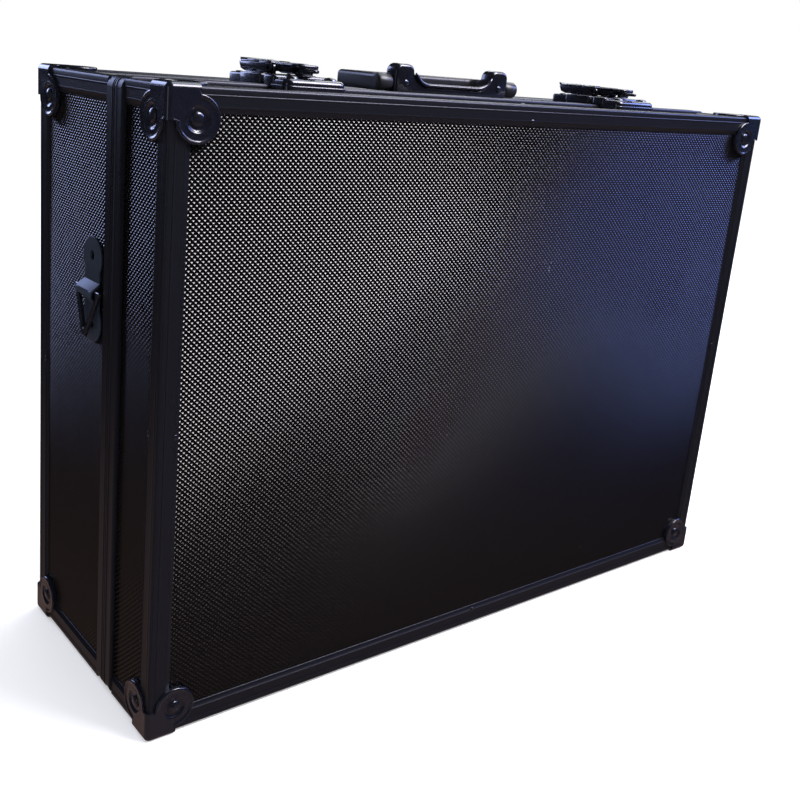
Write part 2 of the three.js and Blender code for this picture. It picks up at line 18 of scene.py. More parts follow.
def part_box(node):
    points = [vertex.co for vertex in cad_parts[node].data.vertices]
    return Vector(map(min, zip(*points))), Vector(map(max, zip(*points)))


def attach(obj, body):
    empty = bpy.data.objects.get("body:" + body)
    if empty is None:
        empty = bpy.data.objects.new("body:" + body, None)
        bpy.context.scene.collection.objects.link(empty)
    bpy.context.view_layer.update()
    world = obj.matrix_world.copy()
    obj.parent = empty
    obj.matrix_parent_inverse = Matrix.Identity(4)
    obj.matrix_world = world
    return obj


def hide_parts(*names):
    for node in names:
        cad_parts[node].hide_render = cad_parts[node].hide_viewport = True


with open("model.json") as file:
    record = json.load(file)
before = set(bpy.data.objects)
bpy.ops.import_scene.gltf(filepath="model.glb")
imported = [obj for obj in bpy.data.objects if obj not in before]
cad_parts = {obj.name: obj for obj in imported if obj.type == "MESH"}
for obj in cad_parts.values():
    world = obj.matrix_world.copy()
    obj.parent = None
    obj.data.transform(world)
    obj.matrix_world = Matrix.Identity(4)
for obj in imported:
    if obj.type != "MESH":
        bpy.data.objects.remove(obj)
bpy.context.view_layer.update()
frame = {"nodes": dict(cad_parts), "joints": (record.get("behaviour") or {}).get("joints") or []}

MM = 0.001
LOG = logging.getLogger("attache_case")

Point2 = tuple[float, float]
Point3 = tuple[float, float, float]
AXES = "xyz"


# ---- the case's main planes, from the frame ------------------------------------------------
class Half(Enum):
    """The two halves of the case, with the side of the split that each lies on."""

    BASE = ("base", 1, "back")
    LID = ("lid", -1, "front")

    @property
    def body(self) -> str:
        """Name of the body that the half's pieces ride on."""
        return self.value[0]

    @property
    def side(self) -> int:
        """Sign of the half's large face along Y."""
        return self.value[1]

    @property
    def face(self) -> str:
        """Word for the half's large face."""
        return self.value[2]


def node_box(name: str) -> tuple[Vector, Vector]:
    """The box of a node, in millimetres.

    Args:
        name: the node's name.

    Returns:
        Its lowest and highest corner.
    """
    low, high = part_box(name)
    return low / MM, high / MM


def joint_place(name: str) -> Vector:
    """The place of a joint, in millimetres.

    Args:
        name: the joint's name.

    Returns:
        Its place.
    """
    joint = next(each for each in frame["joints"] if each["name"] == name)
    return Vector(joint["pos_m"]) / MM


@dataclass(frozen=True)
class CasePlanes:
    """The planes of the edge profiles' outer faces."""

    low: Point3
    high: Point3

    @classmethod
    def from_frame(cls) -> "CasePlanes":
        """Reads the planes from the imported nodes.

        Returns:
            The planes, in millimetres.
        """
        front, top = node_box("lid_front_profile_top")
        _, back = node_box("base_back_profile_top")
        left, _ = node_box("lid_front_profile_left")
        _, right = node_box("lid_front_profile_right")
        bottom, _ = node_box("lid_front_profile_bottom")
        return cls((left.x, front.y, bottom.z), (right.x, back.y, top.z))

    def inside(self, axis: str, side: int, depth: float) -> float:
        """A place at a depth inwards from one of the six faces.

        Args:
            axis: the face's axis.
            side: -1 for its low face, 1 for its high one.
            depth: distance inwards.

        Returns:
            The coordinate on that axis.
        """
        index = AXES.index(axis)
        return self.low[index] + depth if side < 0 else self.high[index] - depth

    @property
    def front(self) -> float:
        """Y of the front face."""
        return self.low[1]

    @property
    def top(self) -> float:
        """Z of the top face."""
        return self.high[2]


CASE = CasePlanes.from_frame()


# ---- mesh making ---------------------------------------------------------------------------
def arc(centre: Point2, radius: float, start: float, end: float, steps: int) -> list[Point2]:
    """Points along an arc.

    Args:
        centre: the arc's centre.
        radius: its radius.
        start: first angle in degrees.
        end: last angle in degrees.
        steps: number of stretches.

    Returns:
        steps + 1 points.
    """
    angles = [math.radians(start + (end - start) * i / steps) for i in range(steps + 1)]
    return [(centre[0] + radius * math.cos(a), centre[1] + radius * math.sin(a)) for a in angles]


def rounded_rectangle(
    u0: float, u1: float, v0: float, v1: float, radius: float, steps: int = 5
) -> list[Point2]:
    """A rectangle's outline with round corners, counterclockwise.

    Args:
        u0: low edge on the first axis.
        u1: high edge on the first axis.
        v0: low edge on the second axis.
        v1: high edge on the second axis.
        radius: radius of the corners.
        steps: stretches in each corner.

    Returns:
        The outline's points.
    """
    return (
        arc((u1 - radius, v0 + radius), radius, -90, 0, steps)
        + arc((u1 - radius, v1 - radius), radius, 0, 90, steps)
        + arc((u0 + radius, v1 - radius), radius, 90, 180, steps)
        + arc((u0 + radius, v0 + radius), radius, 180, 270, steps)
    )


def circle(centre: Point2, radius: float, sides: int = 32) -> list[Point2]:
    """A closed circle's points.

    Args:
        centre: its centre.
        radius: its radius.
        sides: number of points.

    Returns:
        The points, counterclockwise.
    """
    return arc(centre, radius, 0, 360 - 360 / sides, sides - 1)


def inset(outline: Sequence[Point2], distance: float) -> list[Point2]:
    """An outline moved inwards along its own normals.

    Args:
        outline: the closed outline.
        distance: how far each edge moves in.

    Returns:
        The new outline, with as many points.
    """
    count = len(outline)
    area = sum(
        outline[i - 1][0] * outline[i][1] - outline[i][0] * outline[i - 1][1] for i in range(count)
    )
    turn = 1 if area > 0 else -1
    moved = []
    for i, point in enumerate(outline):
        here = Vector(point)
        before = (here - Vector(outline[i - 1])).normalized()
        after = (Vector(outline[(i + 1) % count]) - here).normalized()
        normal = Vector((-before.y - after.y, before.x + after.x)) * turn
        if normal.length < 1e-6:
            normal = Vector((-before.y, before.x)) * turn
        normal.normalize()
        edge_normal = Vector((-before.y, before.x)) * turn
        reach = distance / max(0.35, normal.dot(edge_normal))
        moved.append(tuple(here + normal * reach))
    return moved


def lift(axis: str, outline: Iterable[Point2], place: float) -> list[Point3]:
    """Outline points on the other two axes, set at a place on an axis.

    Args:
        axis: the axis that the outline stands across.
        outline: points on the other two axes, in x, y, z order.
        place: where on the axis.

    Returns:
        Points in space.
    """
    index = AXES.index(axis)
    points = []
    for u, v in outline:
        point = [u, v]
        point.insert(index, place)
        points.append(tuple(point))
    return points


class Shape:
    """A growing set of closed bodies that becomes one mesh."""

    def __init__(self) -> None:
        """Starts with nothing."""
        self.points: list[Point3] = []
        self.faces: list[list[int]] = []

    def loft(self, rings: Sequence[Sequence[Point3]], capped: bool = True, closed: bool = False) -> "Shape":
        """Adds a skin over rings that have the same number of points.

        Args:
            rings: the rings in order.
            capped: close the two ends with a face.
            closed: join the last ring to the first.

        Returns:
            The shape itself.
        """
        start = len(self.points)
        count = len(rings[0])
        for ring in rings:
            self.points.extend(ring)
        pairs = len(rings) if closed else len(rings) - 1
        for r in range(pairs):
            here = start + r * count
            there = start + ((r + 1) % len(rings)) * count
            for i in range(count):
                j = (i + 1) % count
                self.faces.append([here + i, here + j, there + j, there + i])
        if capped and not closed:
            last = start + (len(rings) - 1) * count
            self.faces.append([start + i for i in reversed(range(count))])
            self.faces.append([last + i for i in range(count)])
        return self

    def add(self, other: "Shape") -> None:
        """Takes in the bodies of another shape.

        Args:
            other: the other shape.
        """
        start = len(self.points)
        self.points += other.points
        self.faces += [[start + i for i in face] for face in other.faces]

    def prism(
        self,
        axis: str,
        low: float,
        high: float,
        outline: Sequence[Point2],
        soft: float = 0.0,
        steps: int = 3,
        soft_low: bool = True,
    ) -> "Shape":
        """Adds an outline extruded along an axis, with rounded rims.

        Args:
            axis: the axis that it is extruded along.
            low: where it starts.
            high: where it ends.
            outline: points on the other two axes, in x, y, z order.
            soft: radius of the rims.
            steps: stretches in each rounded rim.
            soft_low: round the low rim as well as the high one.

        Returns:
            The shape itself.
        """
        low, high = min(low, high), max(low, high)
        if soft <= 0:
            return self.loft([lift(axis, outline, low), lift(axis, outline, high)])
        turns = [math.radians(90 * i / steps) for i in range(steps + 1)]
        rings = []
        if soft_low:
            for turn in turns:
                rim = inset(outline, soft * (1 - math.sin(turn)))
                rings.append(lift(axis, rim, low + soft * (1 - math.cos(turn))))
        else:
            rings.append(lift(axis, outline, low))
        for turn in reversed(turns):
            rim = inset(outline, soft * (1 - math.sin(turn)))
            rings.append(lift(axis, rim, high - soft * (1 - math.cos(turn))))
        return self.loft(rings)

    def box(self, low: Point3, high: Point3, soft: float = 0.0) -> "Shape":
        """Adds a box with rounded rims on its top and bottom.

        Args:
            low: its lowest corner.
            high: its highest corner.
            soft: radius of the rounding.

        Returns:
            The shape itself.
        """
        corners = [(low[0], low[1]), (high[0], low[1]), (high[0], high[1]), (low[0], high[1])]
        if soft > 0:
            corners = rounded_rectangle(low[0], high[0], low[1], high[1], soft, 3)
        return self.prism("z", low[2], high[2], corners, soft)

    def turned(self, axis: str, centre: Point2, section: Sequence[Point2], sides: int = 32) -> "Shape":
        """Adds a body of revolution.

        Args:
            axis: the axis that it is turned about.
            centre: its centre on the other two axes, in x, y, z order.
            section: (radius, place on the axis) from one end to the other.
            sides: number of sides.

        Returns:
            The shape itself.
        """
        return self.loft(
            [lift(axis, circle(centre, max(radius, 0.01), sides), place) for radius, place in section]
        )

    def rod(
        self, axis: str, low: float, high: float, centre: Point2, radius: float, soft: float = 0.3
    ) -> "Shape":
        """Adds a round rod with soft ends.

        Args:
            axis: the axis that it lies along.
            low: where it starts.
            high: where it ends.
            centre: its centre on the other two axes, in x, y, z order.
            radius: its radius.
            soft: size of its chamfered ends.

        Returns:
            The shape itself.
        """
        section = [(radius - soft, low), (radius, low + soft), (radius, high - soft), (radius - soft, high)]
        return self.turned(axis, centre, section, 24)

    def tube(self, path: Sequence[Point3], radius: float, sides: int = 12) -> "Shape":
        """Adds a round bead along a path that lies across Y.

        Args:
            path: the bead's middle line.
            radius: its radius.
            sides: number of sides.

        Returns:
            The shape itself.
        """
        rings = []
        for i, point in enumerate(path):
            before, after = Vector(path[max(0, i - 1)]), Vector(path[min(len(path) - 1, i + 1)])
            along = (after - before).normalized()
            across = along.cross(Vector((0.0, 1.0, 0.0))).normalized()
            size = radius * (0.35 if i in (0, len(path) - 1) else 1.0)
            ring = []
            for k in range(sides):
                turn = 2 * math.pi * k / sides
                spot = across * (size * math.cos(turn)) + Vector((0, size * math.sin(turn), 0))
                ring.append(tuple(Vector(point) + spot))
            rings.append(ring)
        return self.loft(rings)

    def mesh(self, name: str) -> bpy.types.Mesh:
        """Makes the mesh, in metres, with its faces pointing out.

        Args:
            name: the mesh's name.

        Returns:
            The mesh.
        """
        data = bpy.data.meshes.new(name)
        data.from_pydata([[c * MM for c in p] for p in self.points], [], self.faces)
        return outwards(data)


def outwards(data: bpy.types.Mesh, weld: float = 0.0) -> bpy.types.Mesh:
    """Points every face of closed bodies out.

    Args:
        data: the mesh.
        weld: distance in metres under which points are merged first.

    Returns:
        The mesh itself.
    """
    cage = bmesh.new()
    cage.from_mesh(data)
    if weld > 0:
        bmesh.ops.remove_doubles(cage, verts=cage.verts, dist=weld)
    bmesh.ops.recalc_face_normals(cage, faces=cage.faces)
    cage.to_mesh(data)
    cage.free()
    data.update()
    return data


def place(data: bpy.types.Mesh, name: str) -> bpy.types.Object:
    """Puts a mesh in the scene as an object at the origin.

    Args:
        data: the mesh.
        name: the object's name.

    Returns:
        The object.
    """
    data.name = name
    piece = bpy.data.objects.new(name, data)
    bpy.context.scene.collection.objects.link(piece)
    return piece


def smooth(piece: bpy.types.Object, angle: float = 35.0) -> bpy.types.Object:
    """Shades a piece smooth, with creases past an angle.

    Args:
        piece: the object.
        angle: the crease angle in degrees.

    Returns:
        The object itself.
    """
    piece.data.shade_smooth()
    piece.data.set_sharp_from_angle(angle=math.radians(angle))
    return piece


def evaluated_mesh(piece: bpy.types.Object) -> bpy.types.Mesh:
    """A plain mesh of an object with its modifiers applied.

    Args:
        piece: the object.

    Returns:
        A new mesh.
    """
    bpy.context.view_layer.update()
    graph = bpy.context.evaluated_depsgraph_get()
    return bpy.data.meshes.new_from_object(piece.evaluated_get(graph), depsgraph=graph)


def carve(piece: bpy.types.Object, tool: Shape) -> bpy.types.Object:
    """Cuts a shape out of a piece.

    Args:
        piece: the object that is cut.
        tool: what is cut away.

    Returns:
        The object itself, with its cut mesh.
    """
    cutter = place(tool.mesh("cutter"), "cutter")
    cut = piece.modifiers.new("cut", "BOOLEAN")
    cut.operation = "DIFFERENCE"
    cut.solver = "EXACT"
    cut.use_self = True
    cut.object = cutter
    result = evaluated_mesh(piece)
    piece.modifiers.remove(cut)
    piece.data = result
    bpy.data.objects.remove(cutter)
    return piece


def finish_piece(
    piece: bpy.types.Object, body: str, slot: str, material: bpy.types.Material, *nodes: str
) -> bpy.types.Object:
    """Dresses a finished piece and hands it to its body.

    Args:
        piece: the object.
        body: the body that it rides on.
        slot: the material slot that its finish belongs to; not used.
        material: its finish.
        nodes: the nodes that it stands for.

    Returns:
        The object itself.
    """
    if not piece.data.materials:
        piece.data.materials.append(material)
    else:
        piece.data.materials[0] = material
    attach(piece, body)
    if nodes:
        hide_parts(*nodes)
    LOG.info("%s: %d faces on %s", piece.name, len(piece.data.polygons), body)
    return piece


# ---- node trees ----------------------------------------------------------------------------
class Tree:
    """A small hand for wiring node trees."""

    def __init__(self, tree: bpy.types.NodeTree) -> None:
        """Holds a tree.

        Args:
            tree: the node tree that is wired.
        """
        self.tree = tree

    def node(self, kind: str, **settings: object) -> bpy.types.Node:
        """Adds a node.

        Args:
            kind: its type.
            settings: properties of the node.

        Returns:
            The node.
        """
        made = self.tree.nodes.new(kind)
        for key, value in settings.items():
            setattr(made, key, value)
        return made

    def link(self, source: bpy.types.NodeSocket, target: bpy.types.NodeSocket) -> None:
        """Joins two sockets."""
        self.tree.links.new(source, target)

    def math(self, operation: str, *values: object) -> bpy.types.NodeSocket:
        """Adds a math node.

        Args:
            operation: what it does.
            values: sockets or numbers for its inputs.

        Returns:
            Its output.
        """
        made = self.node("ShaderNodeMath", operation=operation)
        for socket, value in zip(made.inputs, values):
            if isinstance(value, bpy.types.NodeSocket):
                self.link(value, socket)
            else:
                socket.default_value = value
        return made.outputs[0]


def shader_group(name: str, inputs: dict[str, float], outputs: Sequence[str]) -> bpy.types.NodeTree:
    """Starts a shader node group.

    Args:
        name: the group's name.
        inputs: its inputs' names and defaults.
        outputs: its outputs' names.

    Returns:
        The group, with its input and output nodes in it.
    """
    group = bpy.data.node_groups.new(name, "ShaderNodeTree")
    for label, value in inputs.items():
        socket = group.interface.new_socket(name=label, in_out="INPUT", socket_type="NodeSocketFloat")
        socket.default_value = value
    for label in outputs:
        group.interface.new_socket(name=label, in_out="OUTPUT", socket_type="NodeSocketFloat")
    group.nodes.new("NodeGroupInput")
    group.nodes.new("NodeGroupOutput")
    return group


def grain_group() -> bpy.types.NodeTree:
    """Fine grain: a height for bump and a roughness that wanders a little.

    Returns:
        The node group.
    """
    inputs = {"Scale": 900.0, "Roughness": 0.35, "Wander": 0.08, "Stretch": 1.0}
    group = shader_group("fine_grain", inputs, ["Height", "Roughness"])
    wire = Tree(group)
    given, out = group.nodes["Group Input"], group.nodes["Group Output"]
    where = wire.node("ShaderNodeTexCoord")
    mapping = wire.node("ShaderNodeMapping")
    scaling = wire.node("ShaderNodeCombineXYZ")
    wire.link(given.outputs["Stretch"], scaling.inputs["X"])
    wire.link(given.outputs["Stretch"], scaling.inputs["Y"])
    scaling.inputs["Z"].default_value = 1.0
    wire.link(where.outputs["Object"], mapping.inputs["Vector"])
    wire.link(scaling.outputs[0], mapping.inputs["Scale"])
    fine = wire.node("ShaderNodeTexNoise", noise_dimensions="3D")
    fine.inputs["Detail"].default_value = 3.0
    wire.link(mapping.outputs[0], fine.inputs["Vector"])
    wire.link(given.outputs["Scale"], fine.inputs["Scale"])
    broad = wire.node("ShaderNodeTexNoise", noise_dimensions="3D")
    broad.inputs["Scale"].default_value = 14.0
    broad.inputs["Detail"].default_value = 4.0
    wire.link(where.outputs["Object"], broad.inputs["Vector"])
    swing = wire.math("SUBTRACT", broad.outputs[0], 0.5)
    both = wire.math("ADD", swing, wire.math("MULTIPLY", wire.math("SUBTRACT", fine.outputs[0], 0.5), 0.6))
    rough = wire.math("ADD", given.outputs["Roughness"], wire.math("MULTIPLY", both, given.outputs["Wander"]))
    wire.link(fine.outputs[0], out.inputs["Height"])
    wire.link(rough, out.inputs["Roughness"])
    return group


def wear_group() -> bpy.types.NodeTree:
    """Edge wear: a mask of sharp edges, broken up by noise.

    Returns:
        The node group.
    """
    group = shader_group("edge_wear", {"Start": 0.53, "Width": 0.05, "Amount": 0.5, "Scale": 160.0}, ["Mask"])
    wire = Tree(group)
    given, out = group.nodes["Group Input"], group.nodes["Group Output"]
    shape = wire.node("ShaderNodeNewGeometry")
    where = wire.node("ShaderNodeTexCoord")
    noise = wire.node("ShaderNodeTexNoise", noise_dimensions="3D")
    noise.inputs["Detail"].default_value = 5.0
    wire.link(where.outputs["Object"], noise.inputs["Vector"])
    wire.link(given.outputs["Scale"], noise.inputs["Scale"])
    broken = wire.math("MULTIPLY", wire.math("SUBTRACT", noise.outputs[0], 0.5), 0.12)
    rough = wire.math("ADD", shape.outputs["Pointiness"], broken)
    edge = wire.math("SUBTRACT", rough, given.outputs["Start"])
    sharp = wire.math("DIVIDE", edge, given.outputs["Width"])
    held = wire.node("ShaderNodeClamp")
    wire.link(sharp, held.inputs["Value"])
    wire.link(wire.math("MULTIPLY", held.outputs[0], given.outputs["Amount"]), out.inputs["Mask"])
    return group


def dust_group() -> bpy.types.NodeTree:
    """Dust and smudges: a soft cloudy mask, stronger on faces that look up.

    Returns:
        The node group.
    """
    group = shader_group("dust", {"Amount": 0.1, "Scale": 35.0}, ["Mask"])
    wire = Tree(group)
    given, out = group.nodes["Group Input"], group.nodes["Group Output"]
    where = wire.node("ShaderNodeTexCoord")
    shape = wire.node("ShaderNodeNewGeometry")
    parts = wire.node("ShaderNodeSeparateXYZ")
    wire.link(shape.outputs["Normal"], parts.inputs[0])
    noise = wire.node("ShaderNodeTexNoise", noise_dimensions="3D")
    noise.inputs["Detail"].default_value = 6.0
    noise.inputs["Roughness"].default_value = 0.65
    wire.link(where.outputs["Object"], noise.inputs["Vector"])
    wire.link(given.outputs["Scale"], noise.inputs["Scale"])
    cloud = wire.node("ShaderNodeMapRange")
    cloud.inputs["From Min"].default_value = 0.45
    cloud.inputs["From Max"].default_value = 0.75
    wire.link(noise.outputs[0], cloud.inputs["Value"])
    up = wire.math("ADD", wire.math("MULTIPLY", wire.math("MAXIMUM", parts.outputs["Z"], 0.0), 0.7), 0.3)
    mask = wire.math("MULTIPLY", wire.math("MULTIPLY", cloud.outputs[0], up), given.outputs["Amount"])
    wire.link(mask, out.inputs["Mask"])
    return group


GROUPS: dict[str, bpy.types.NodeTree] = {}


def group_named(name: str) -> bpy.types.NodeTree:
    """A shared node group, built the first time that it is asked for.

    Args:
        name: fine_grain, edge_wear or dust.

    Returns:
        The node group.
    """
    makers = {"fine_grain": grain_group, "edge_wear": wear_group, "dust": dust_group}
    if name not in GROUPS:
        GROUPS[name] = makers[name]()
    return GROUPS[name]


# ---- finishes ------------------------------------------------------------------------------
@dataclass(frozen=True)
class Finish:
    """A surface finish and the values that its shader takes.

    coat_mask names a mesh attribute, 1 at each bump's tip, that keeps the coat to the bumps.
    """

    name: str
    colour: tuple[float, float, float]
    worn: tuple[float, float, float]
    roughness: float
    metallic: float = 0.0
    specular: float = 0.5
    coat: float = 0.0
    coat_roughness: float = 0.1
    sheen: float = 0.0
    grain_scale: float = 900.0
    grain_height: float = 0.1
    grain_stretch: float = 1.0
    wander: float = 0.08
    wear: float = 0.4
    dust: float = 0.1
    coat_mask: str = ""
    mask_start: float = 0.15
    mask_end: float = 0.42

    def build(self) -> bpy.types.Material:
        """Makes the material.

        Returns:
            The material.
        """
        material = bpy.data.materials.new(self.name)
        material.use_nodes = True
        wire = Tree(material.node_tree)
        shader = material.node_tree.nodes["Principled BSDF"]
        grain = wire.node("ShaderNodeGroup", node_tree=group_named("fine_grain"))
        grain.inputs["Scale"].default_value = self.grain_scale
        grain.inputs["Roughness"].default_value = self.roughness
        grain.inputs["Wander"].default_value = self.wander
        grain.inputs["Stretch"].default_value = self.grain_stretch
        wear = wire.node("ShaderNodeGroup", node_tree=group_named("edge_wear"))
        wear.inputs["Amount"].default_value = self.wear
        dust = wire.node("ShaderNodeGroup", node_tree=group_named("dust"))
        dust.inputs["Amount"].default_value = self.dust
        worn = self.blended(wire, wear.outputs["Mask"], (*self.colour, 1.0), (*self.worn, 1.0))
        dusty = self.blended(wire, dust.outputs["Mask"], worn, (0.16, 0.15, 0.15, 1.0))
        wire.link(dusty, shader.inputs["Base Color"])
        rough = wire.math("ADD", grain.outputs["Roughness"], wire.math("MULTIPLY", dust.outputs["Mask"], 0.5))
        wire.link(rough, shader.inputs["Roughness"])
        bump = wire.node("ShaderNodeBump")
        bump.inputs["Strength"].default_value = self.grain_height
        bump.inputs["Distance"].default_value = 0.1 * MM
        wire.link(grain.outputs["Height"], bump.inputs["Height"])
        wire.link(bump.outputs[0], shader.inputs["Normal"])
        shader.inputs["Metallic"].default_value = self.metallic
        shader.inputs["Specular IOR Level"].default_value = self.specular
        shader.inputs["Coat Weight"].default_value = self.coat
        shader.inputs["Coat Roughness"].default_value = self.coat_roughness
        shader.inputs["Sheen Weight"].default_value = self.sheen
        if self.coat_mask:
            raised = wire.node("ShaderNodeAttribute", attribute_name=self.coat_mask)
            edge = wire.node("ShaderNodeMapRange")
            edge.inputs["From Min"].default_value = self.mask_start
            edge.inputs["From Max"].default_value = self.mask_end
            edge.inputs["To Max"].default_value = self.coat
            wire.link(raised.outputs["Fac"], edge.inputs["Value"])
            wire.link(edge.outputs[0], shader.inputs["Coat Weight"])
        material.diffuse_color = (*self.colour, 1.0)
        return material

    @staticmethod
    def blended(
        wire: Tree, mask: bpy.types.NodeSocket, first: object, second: object
    ) -> bpy.types.NodeSocket:
        """A colour mixed from two by a mask.

        Args:
            wire: the tree that it is made in.
            mask: 0 for the first colour, 1 for the second.
            first: a colour or a socket.
            second: a colour or a socket.

        Returns:
            The mixed colour.
        """
        mix = wire.node("ShaderNodeMix", data_type="RGBA")
        wire.link(mask, mix.inputs[0])
        for socket, value in ((mix.inputs[6], first), (mix.inputs[7], second)):
            if isinstance(value, bpy.types.NodeSocket):
                wire.link(value, socket)
            else:
                socket.default_value = value
        return mix.outputs[2]


class Finishes:
    """Every finish of the case, built once."""

    def __init__(self) -> None:
        """Builds the materials."""
        black = (0.012, 0.012, 0.015)
        self.profile = Finish(
            "black_anodised", (0.025, 0.026, 0.036), (0.08, 0.08, 0.09), 0.34, metallic=0.85,
            grain_scale=700.0, grain_height=0.01, wander=0.05, wear=0.04, dust=0.006,
        ).build()
        self.skin = Finish(
            "embossed_skin", (0.001, 0.0009, 0.0012), (0.01, 0.01, 0.012), 0.25, specular=0.24,
            coat=1.0, coat_roughness=0.19, grain_scale=420.0, grain_height=0.0, wander=0.08,
            wear=0.0, dust=0.002, coat_mask="raised",
        ).build()
        self.corner = Finish(
            "stamped_black", (0.009, 0.0105, 0.02), (0.06, 0.06, 0.08), 0.27, metallic=0.6,
            coat=0.9, coat_roughness=0.11, grain_scale=300.0, grain_height=0.005, wander=0.02,
            wear=0.03, dust=0.004,
        ).build()
        self.hardware = Finish(
            "black_nickel", (0.026, 0.028, 0.042), (0.13, 0.13, 0.16), 0.25, metallic=0.85,
            coat=0.9, coat_roughness=0.1, grain_scale=500.0, grain_height=0.005, wander=0.02,
            wear=0.04, dust=0.005,
        ).build()
        self.plate = Finish(
            "satin_plate", (0.032, 0.044, 0.07), (0.1, 0.1, 0.11), 0.42, metallic=0.65,
            grain_scale=500.0, grain_height=0.02, wear=0.15, dust=0.03,
        ).build()
        self.handle = Finish(
            "satin_black", (0.018, 0.0185, 0.024), (0.07, 0.07, 0.08), 0.38, metallic=0.5,
            coat=0.25, coat_roughness=0.3, grain_scale=1100.0, grain_height=0.04, wear=0.15, dust=0.03,
        ).build()
        self.hinge = Finish(
            "black_steel", (0.05, 0.05, 0.056), (0.2, 0.2, 0.21), 0.4, metallic=0.9,
            grain_scale=800.0, grain_height=0.08, wear=0.4, dust=0.12,
        ).build()
        self.key = Finish(
            "dark_steel", (0.2, 0.2, 0.21), (0.4, 0.4, 0.42), 0.3, metallic=1.0,
            grain_scale=1500.0, grain_height=0.1, grain_stretch=0.1, wear=0.4, dust=0.05,
        ).build()
        self.board = Finish(
            "board", black, (0.03, 0.028, 0.026), 0.6, grain_scale=300.0, grain_height=0.2, wear=0.2,
        ).build()
        self.lining = Finish(
            "foam", (0.011, 0.011, 0.012), (0.03, 0.03, 0.03), 0.95, specular=0.2, sheen=0.3,
            grain_scale=1600.0, grain_height=0.9, wander=0.05, wear=0.2, dust=0.12,
        ).build()


# ---- geometry nodes ------------------------------------------------------------------------
class GeometryTree(Tree):
    """A Geometry Nodes tree with named inputs for its sizes."""

    def __init__(self, name: str, sizes: dict[str, tuple[str, object]]) -> None:
        """Starts the tree.

        Args:
            name: its name.
            sizes: each input's name, with its socket type and its default value.
        """
        super().__init__(bpy.data.node_groups.new(name, "GeometryNodeTree"))
        self.tree.interface.new_socket(name="Geometry", in_out="INPUT", socket_type="NodeSocketGeometry")
        self.tree.interface.new_socket(name="Geometry", in_out="OUTPUT", socket_type="NodeSocketGeometry")
        self.names: dict[str, str] = {}
        for label, (kind, value) in sizes.items():
            socket = self.tree.interface.new_socket(
                name=label, in_out="INPUT", socket_type=f"NodeSocket{kind}"
            )
            if value is not None:
                socket.default_value = value
            self.names[label] = socket.identifier
        self.given = self.node("NodeGroupInput")
        self.out = self.node("NodeGroupOutput")

    def end(self, geometry: bpy.types.NodeSocket) -> None:
        """Ends the tree in Realize Instances and Set Material.

        Args:
            geometry: what the tree has made.
        """
        real = self.node("GeometryNodeRealizeInstances")
        dress = self.node("GeometryNodeSetMaterial")
        self.link(geometry, real.inputs[0])
        self.link(real.outputs[0], dress.inputs["Geometry"])
        self.link(self.given.outputs["Material"], dress.inputs["Material"])
        self.link(dress.outputs[0], self.out.inputs[0])

    def run(self, data: bpy.types.Mesh, values: dict[str, object]) -> bpy.types.Mesh:
        """Runs the tree on a mesh.

        Args:
            data: the mesh that goes in.
            values: values of the named inputs.

        Returns:
            The plain mesh that comes out.
        """
        carrier = place(data, "carrier")
        step = carrier.modifiers.new("nodes", "NODES")
        step.node_group = self.tree
        for label, value in values.items():
            step[self.names[label]] = value
        result = evaluated_mesh(carrier)
        carrier.modifiers.remove(step)
        bpy.data.objects.remove(carrier)
        return result


def emboss_tree() -> GeometryTree:
    """A flat sheet whose squares rise to small pyramids, like a chessboard's dark squares.

    Returns:
        The tree. Its sheet lies in X and Y and rises along Z.
    """
    tree = GeometryTree(
        "emboss",
        {
            "Columns": ("Int", 10), "Rows": ("Int", 10), "Width": ("Float", 0.1), "Height": ("Float", 0.1),
            "Rise": ("Float", 0.0004), "Tip": ("Float", 0.0), "Material": ("Material", None),
        },
    )
    given = tree.given.outputs
    grid = tree.node("GeometryNodeMeshGrid")
    tree.link(given["Width"], grid.inputs["Size X"])
    tree.link(given["Height"], grid.inputs["Size Y"])
    tree.link(tree.math("ADD", given["Columns"], 1.0), grid.inputs["Vertices X"])
    tree.link(tree.math("ADD", given["Rows"], 1.0), grid.inputs["Vertices Y"])
    index = tree.node("GeometryNodeInputIndex")
    column = tree.math("FLOOR", tree.math("DIVIDE", tree.math("ADD", index.outputs[0], 0.5), given["Rows"]))
    row = tree.math("SUBTRACT", index.outputs[0], tree.math("MULTIPLY", column, given["Rows"]))
    odd = tree.math("MODULO", tree.math("ADD", column, row), 2.0)
    chosen = tree.math("GREATER_THAN", odd, 0.5)
    raise_up = tree.node("GeometryNodeExtrudeMesh", mode="FACES")
    tree.link(grid.outputs[0], raise_up.inputs["Mesh"])
    tree.link(chosen, raise_up.inputs["Selection"])
    tree.link(given["Rise"], raise_up.inputs["Offset Scale"])
    raise_up.inputs["Individual"].default_value = True
    pinch = tree.node("GeometryNodeScaleElements", domain="FACE")
    tree.link(raise_up.outputs["Mesh"], pinch.inputs["Geometry"])
    tree.link(raise_up.outputs["Top"], pinch.inputs["Selection"])
    tree.link(given["Tip"], pinch.inputs["Scale"])
    marked = tree.node("GeometryNodeStoreNamedAttribute", data_type="FLOAT", domain="POINT")
    marked.inputs["Name"].default_value = "raised"
    marked.inputs["Value"].default_value = 1.0
    tree.link(pinch.outputs[0], marked.inputs["Geometry"])
    tree.link(raise_up.outputs["Top"], marked.inputs["Selection"])
    weld = tree.node("GeometryNodeMergeByDistance")
    weld.inputs["Distance"].default_value = 0.00001
    tree.link(marked.outputs[0], weld.inputs["Geometry"])
    tree.end(weld.outputs[0])
    return tree


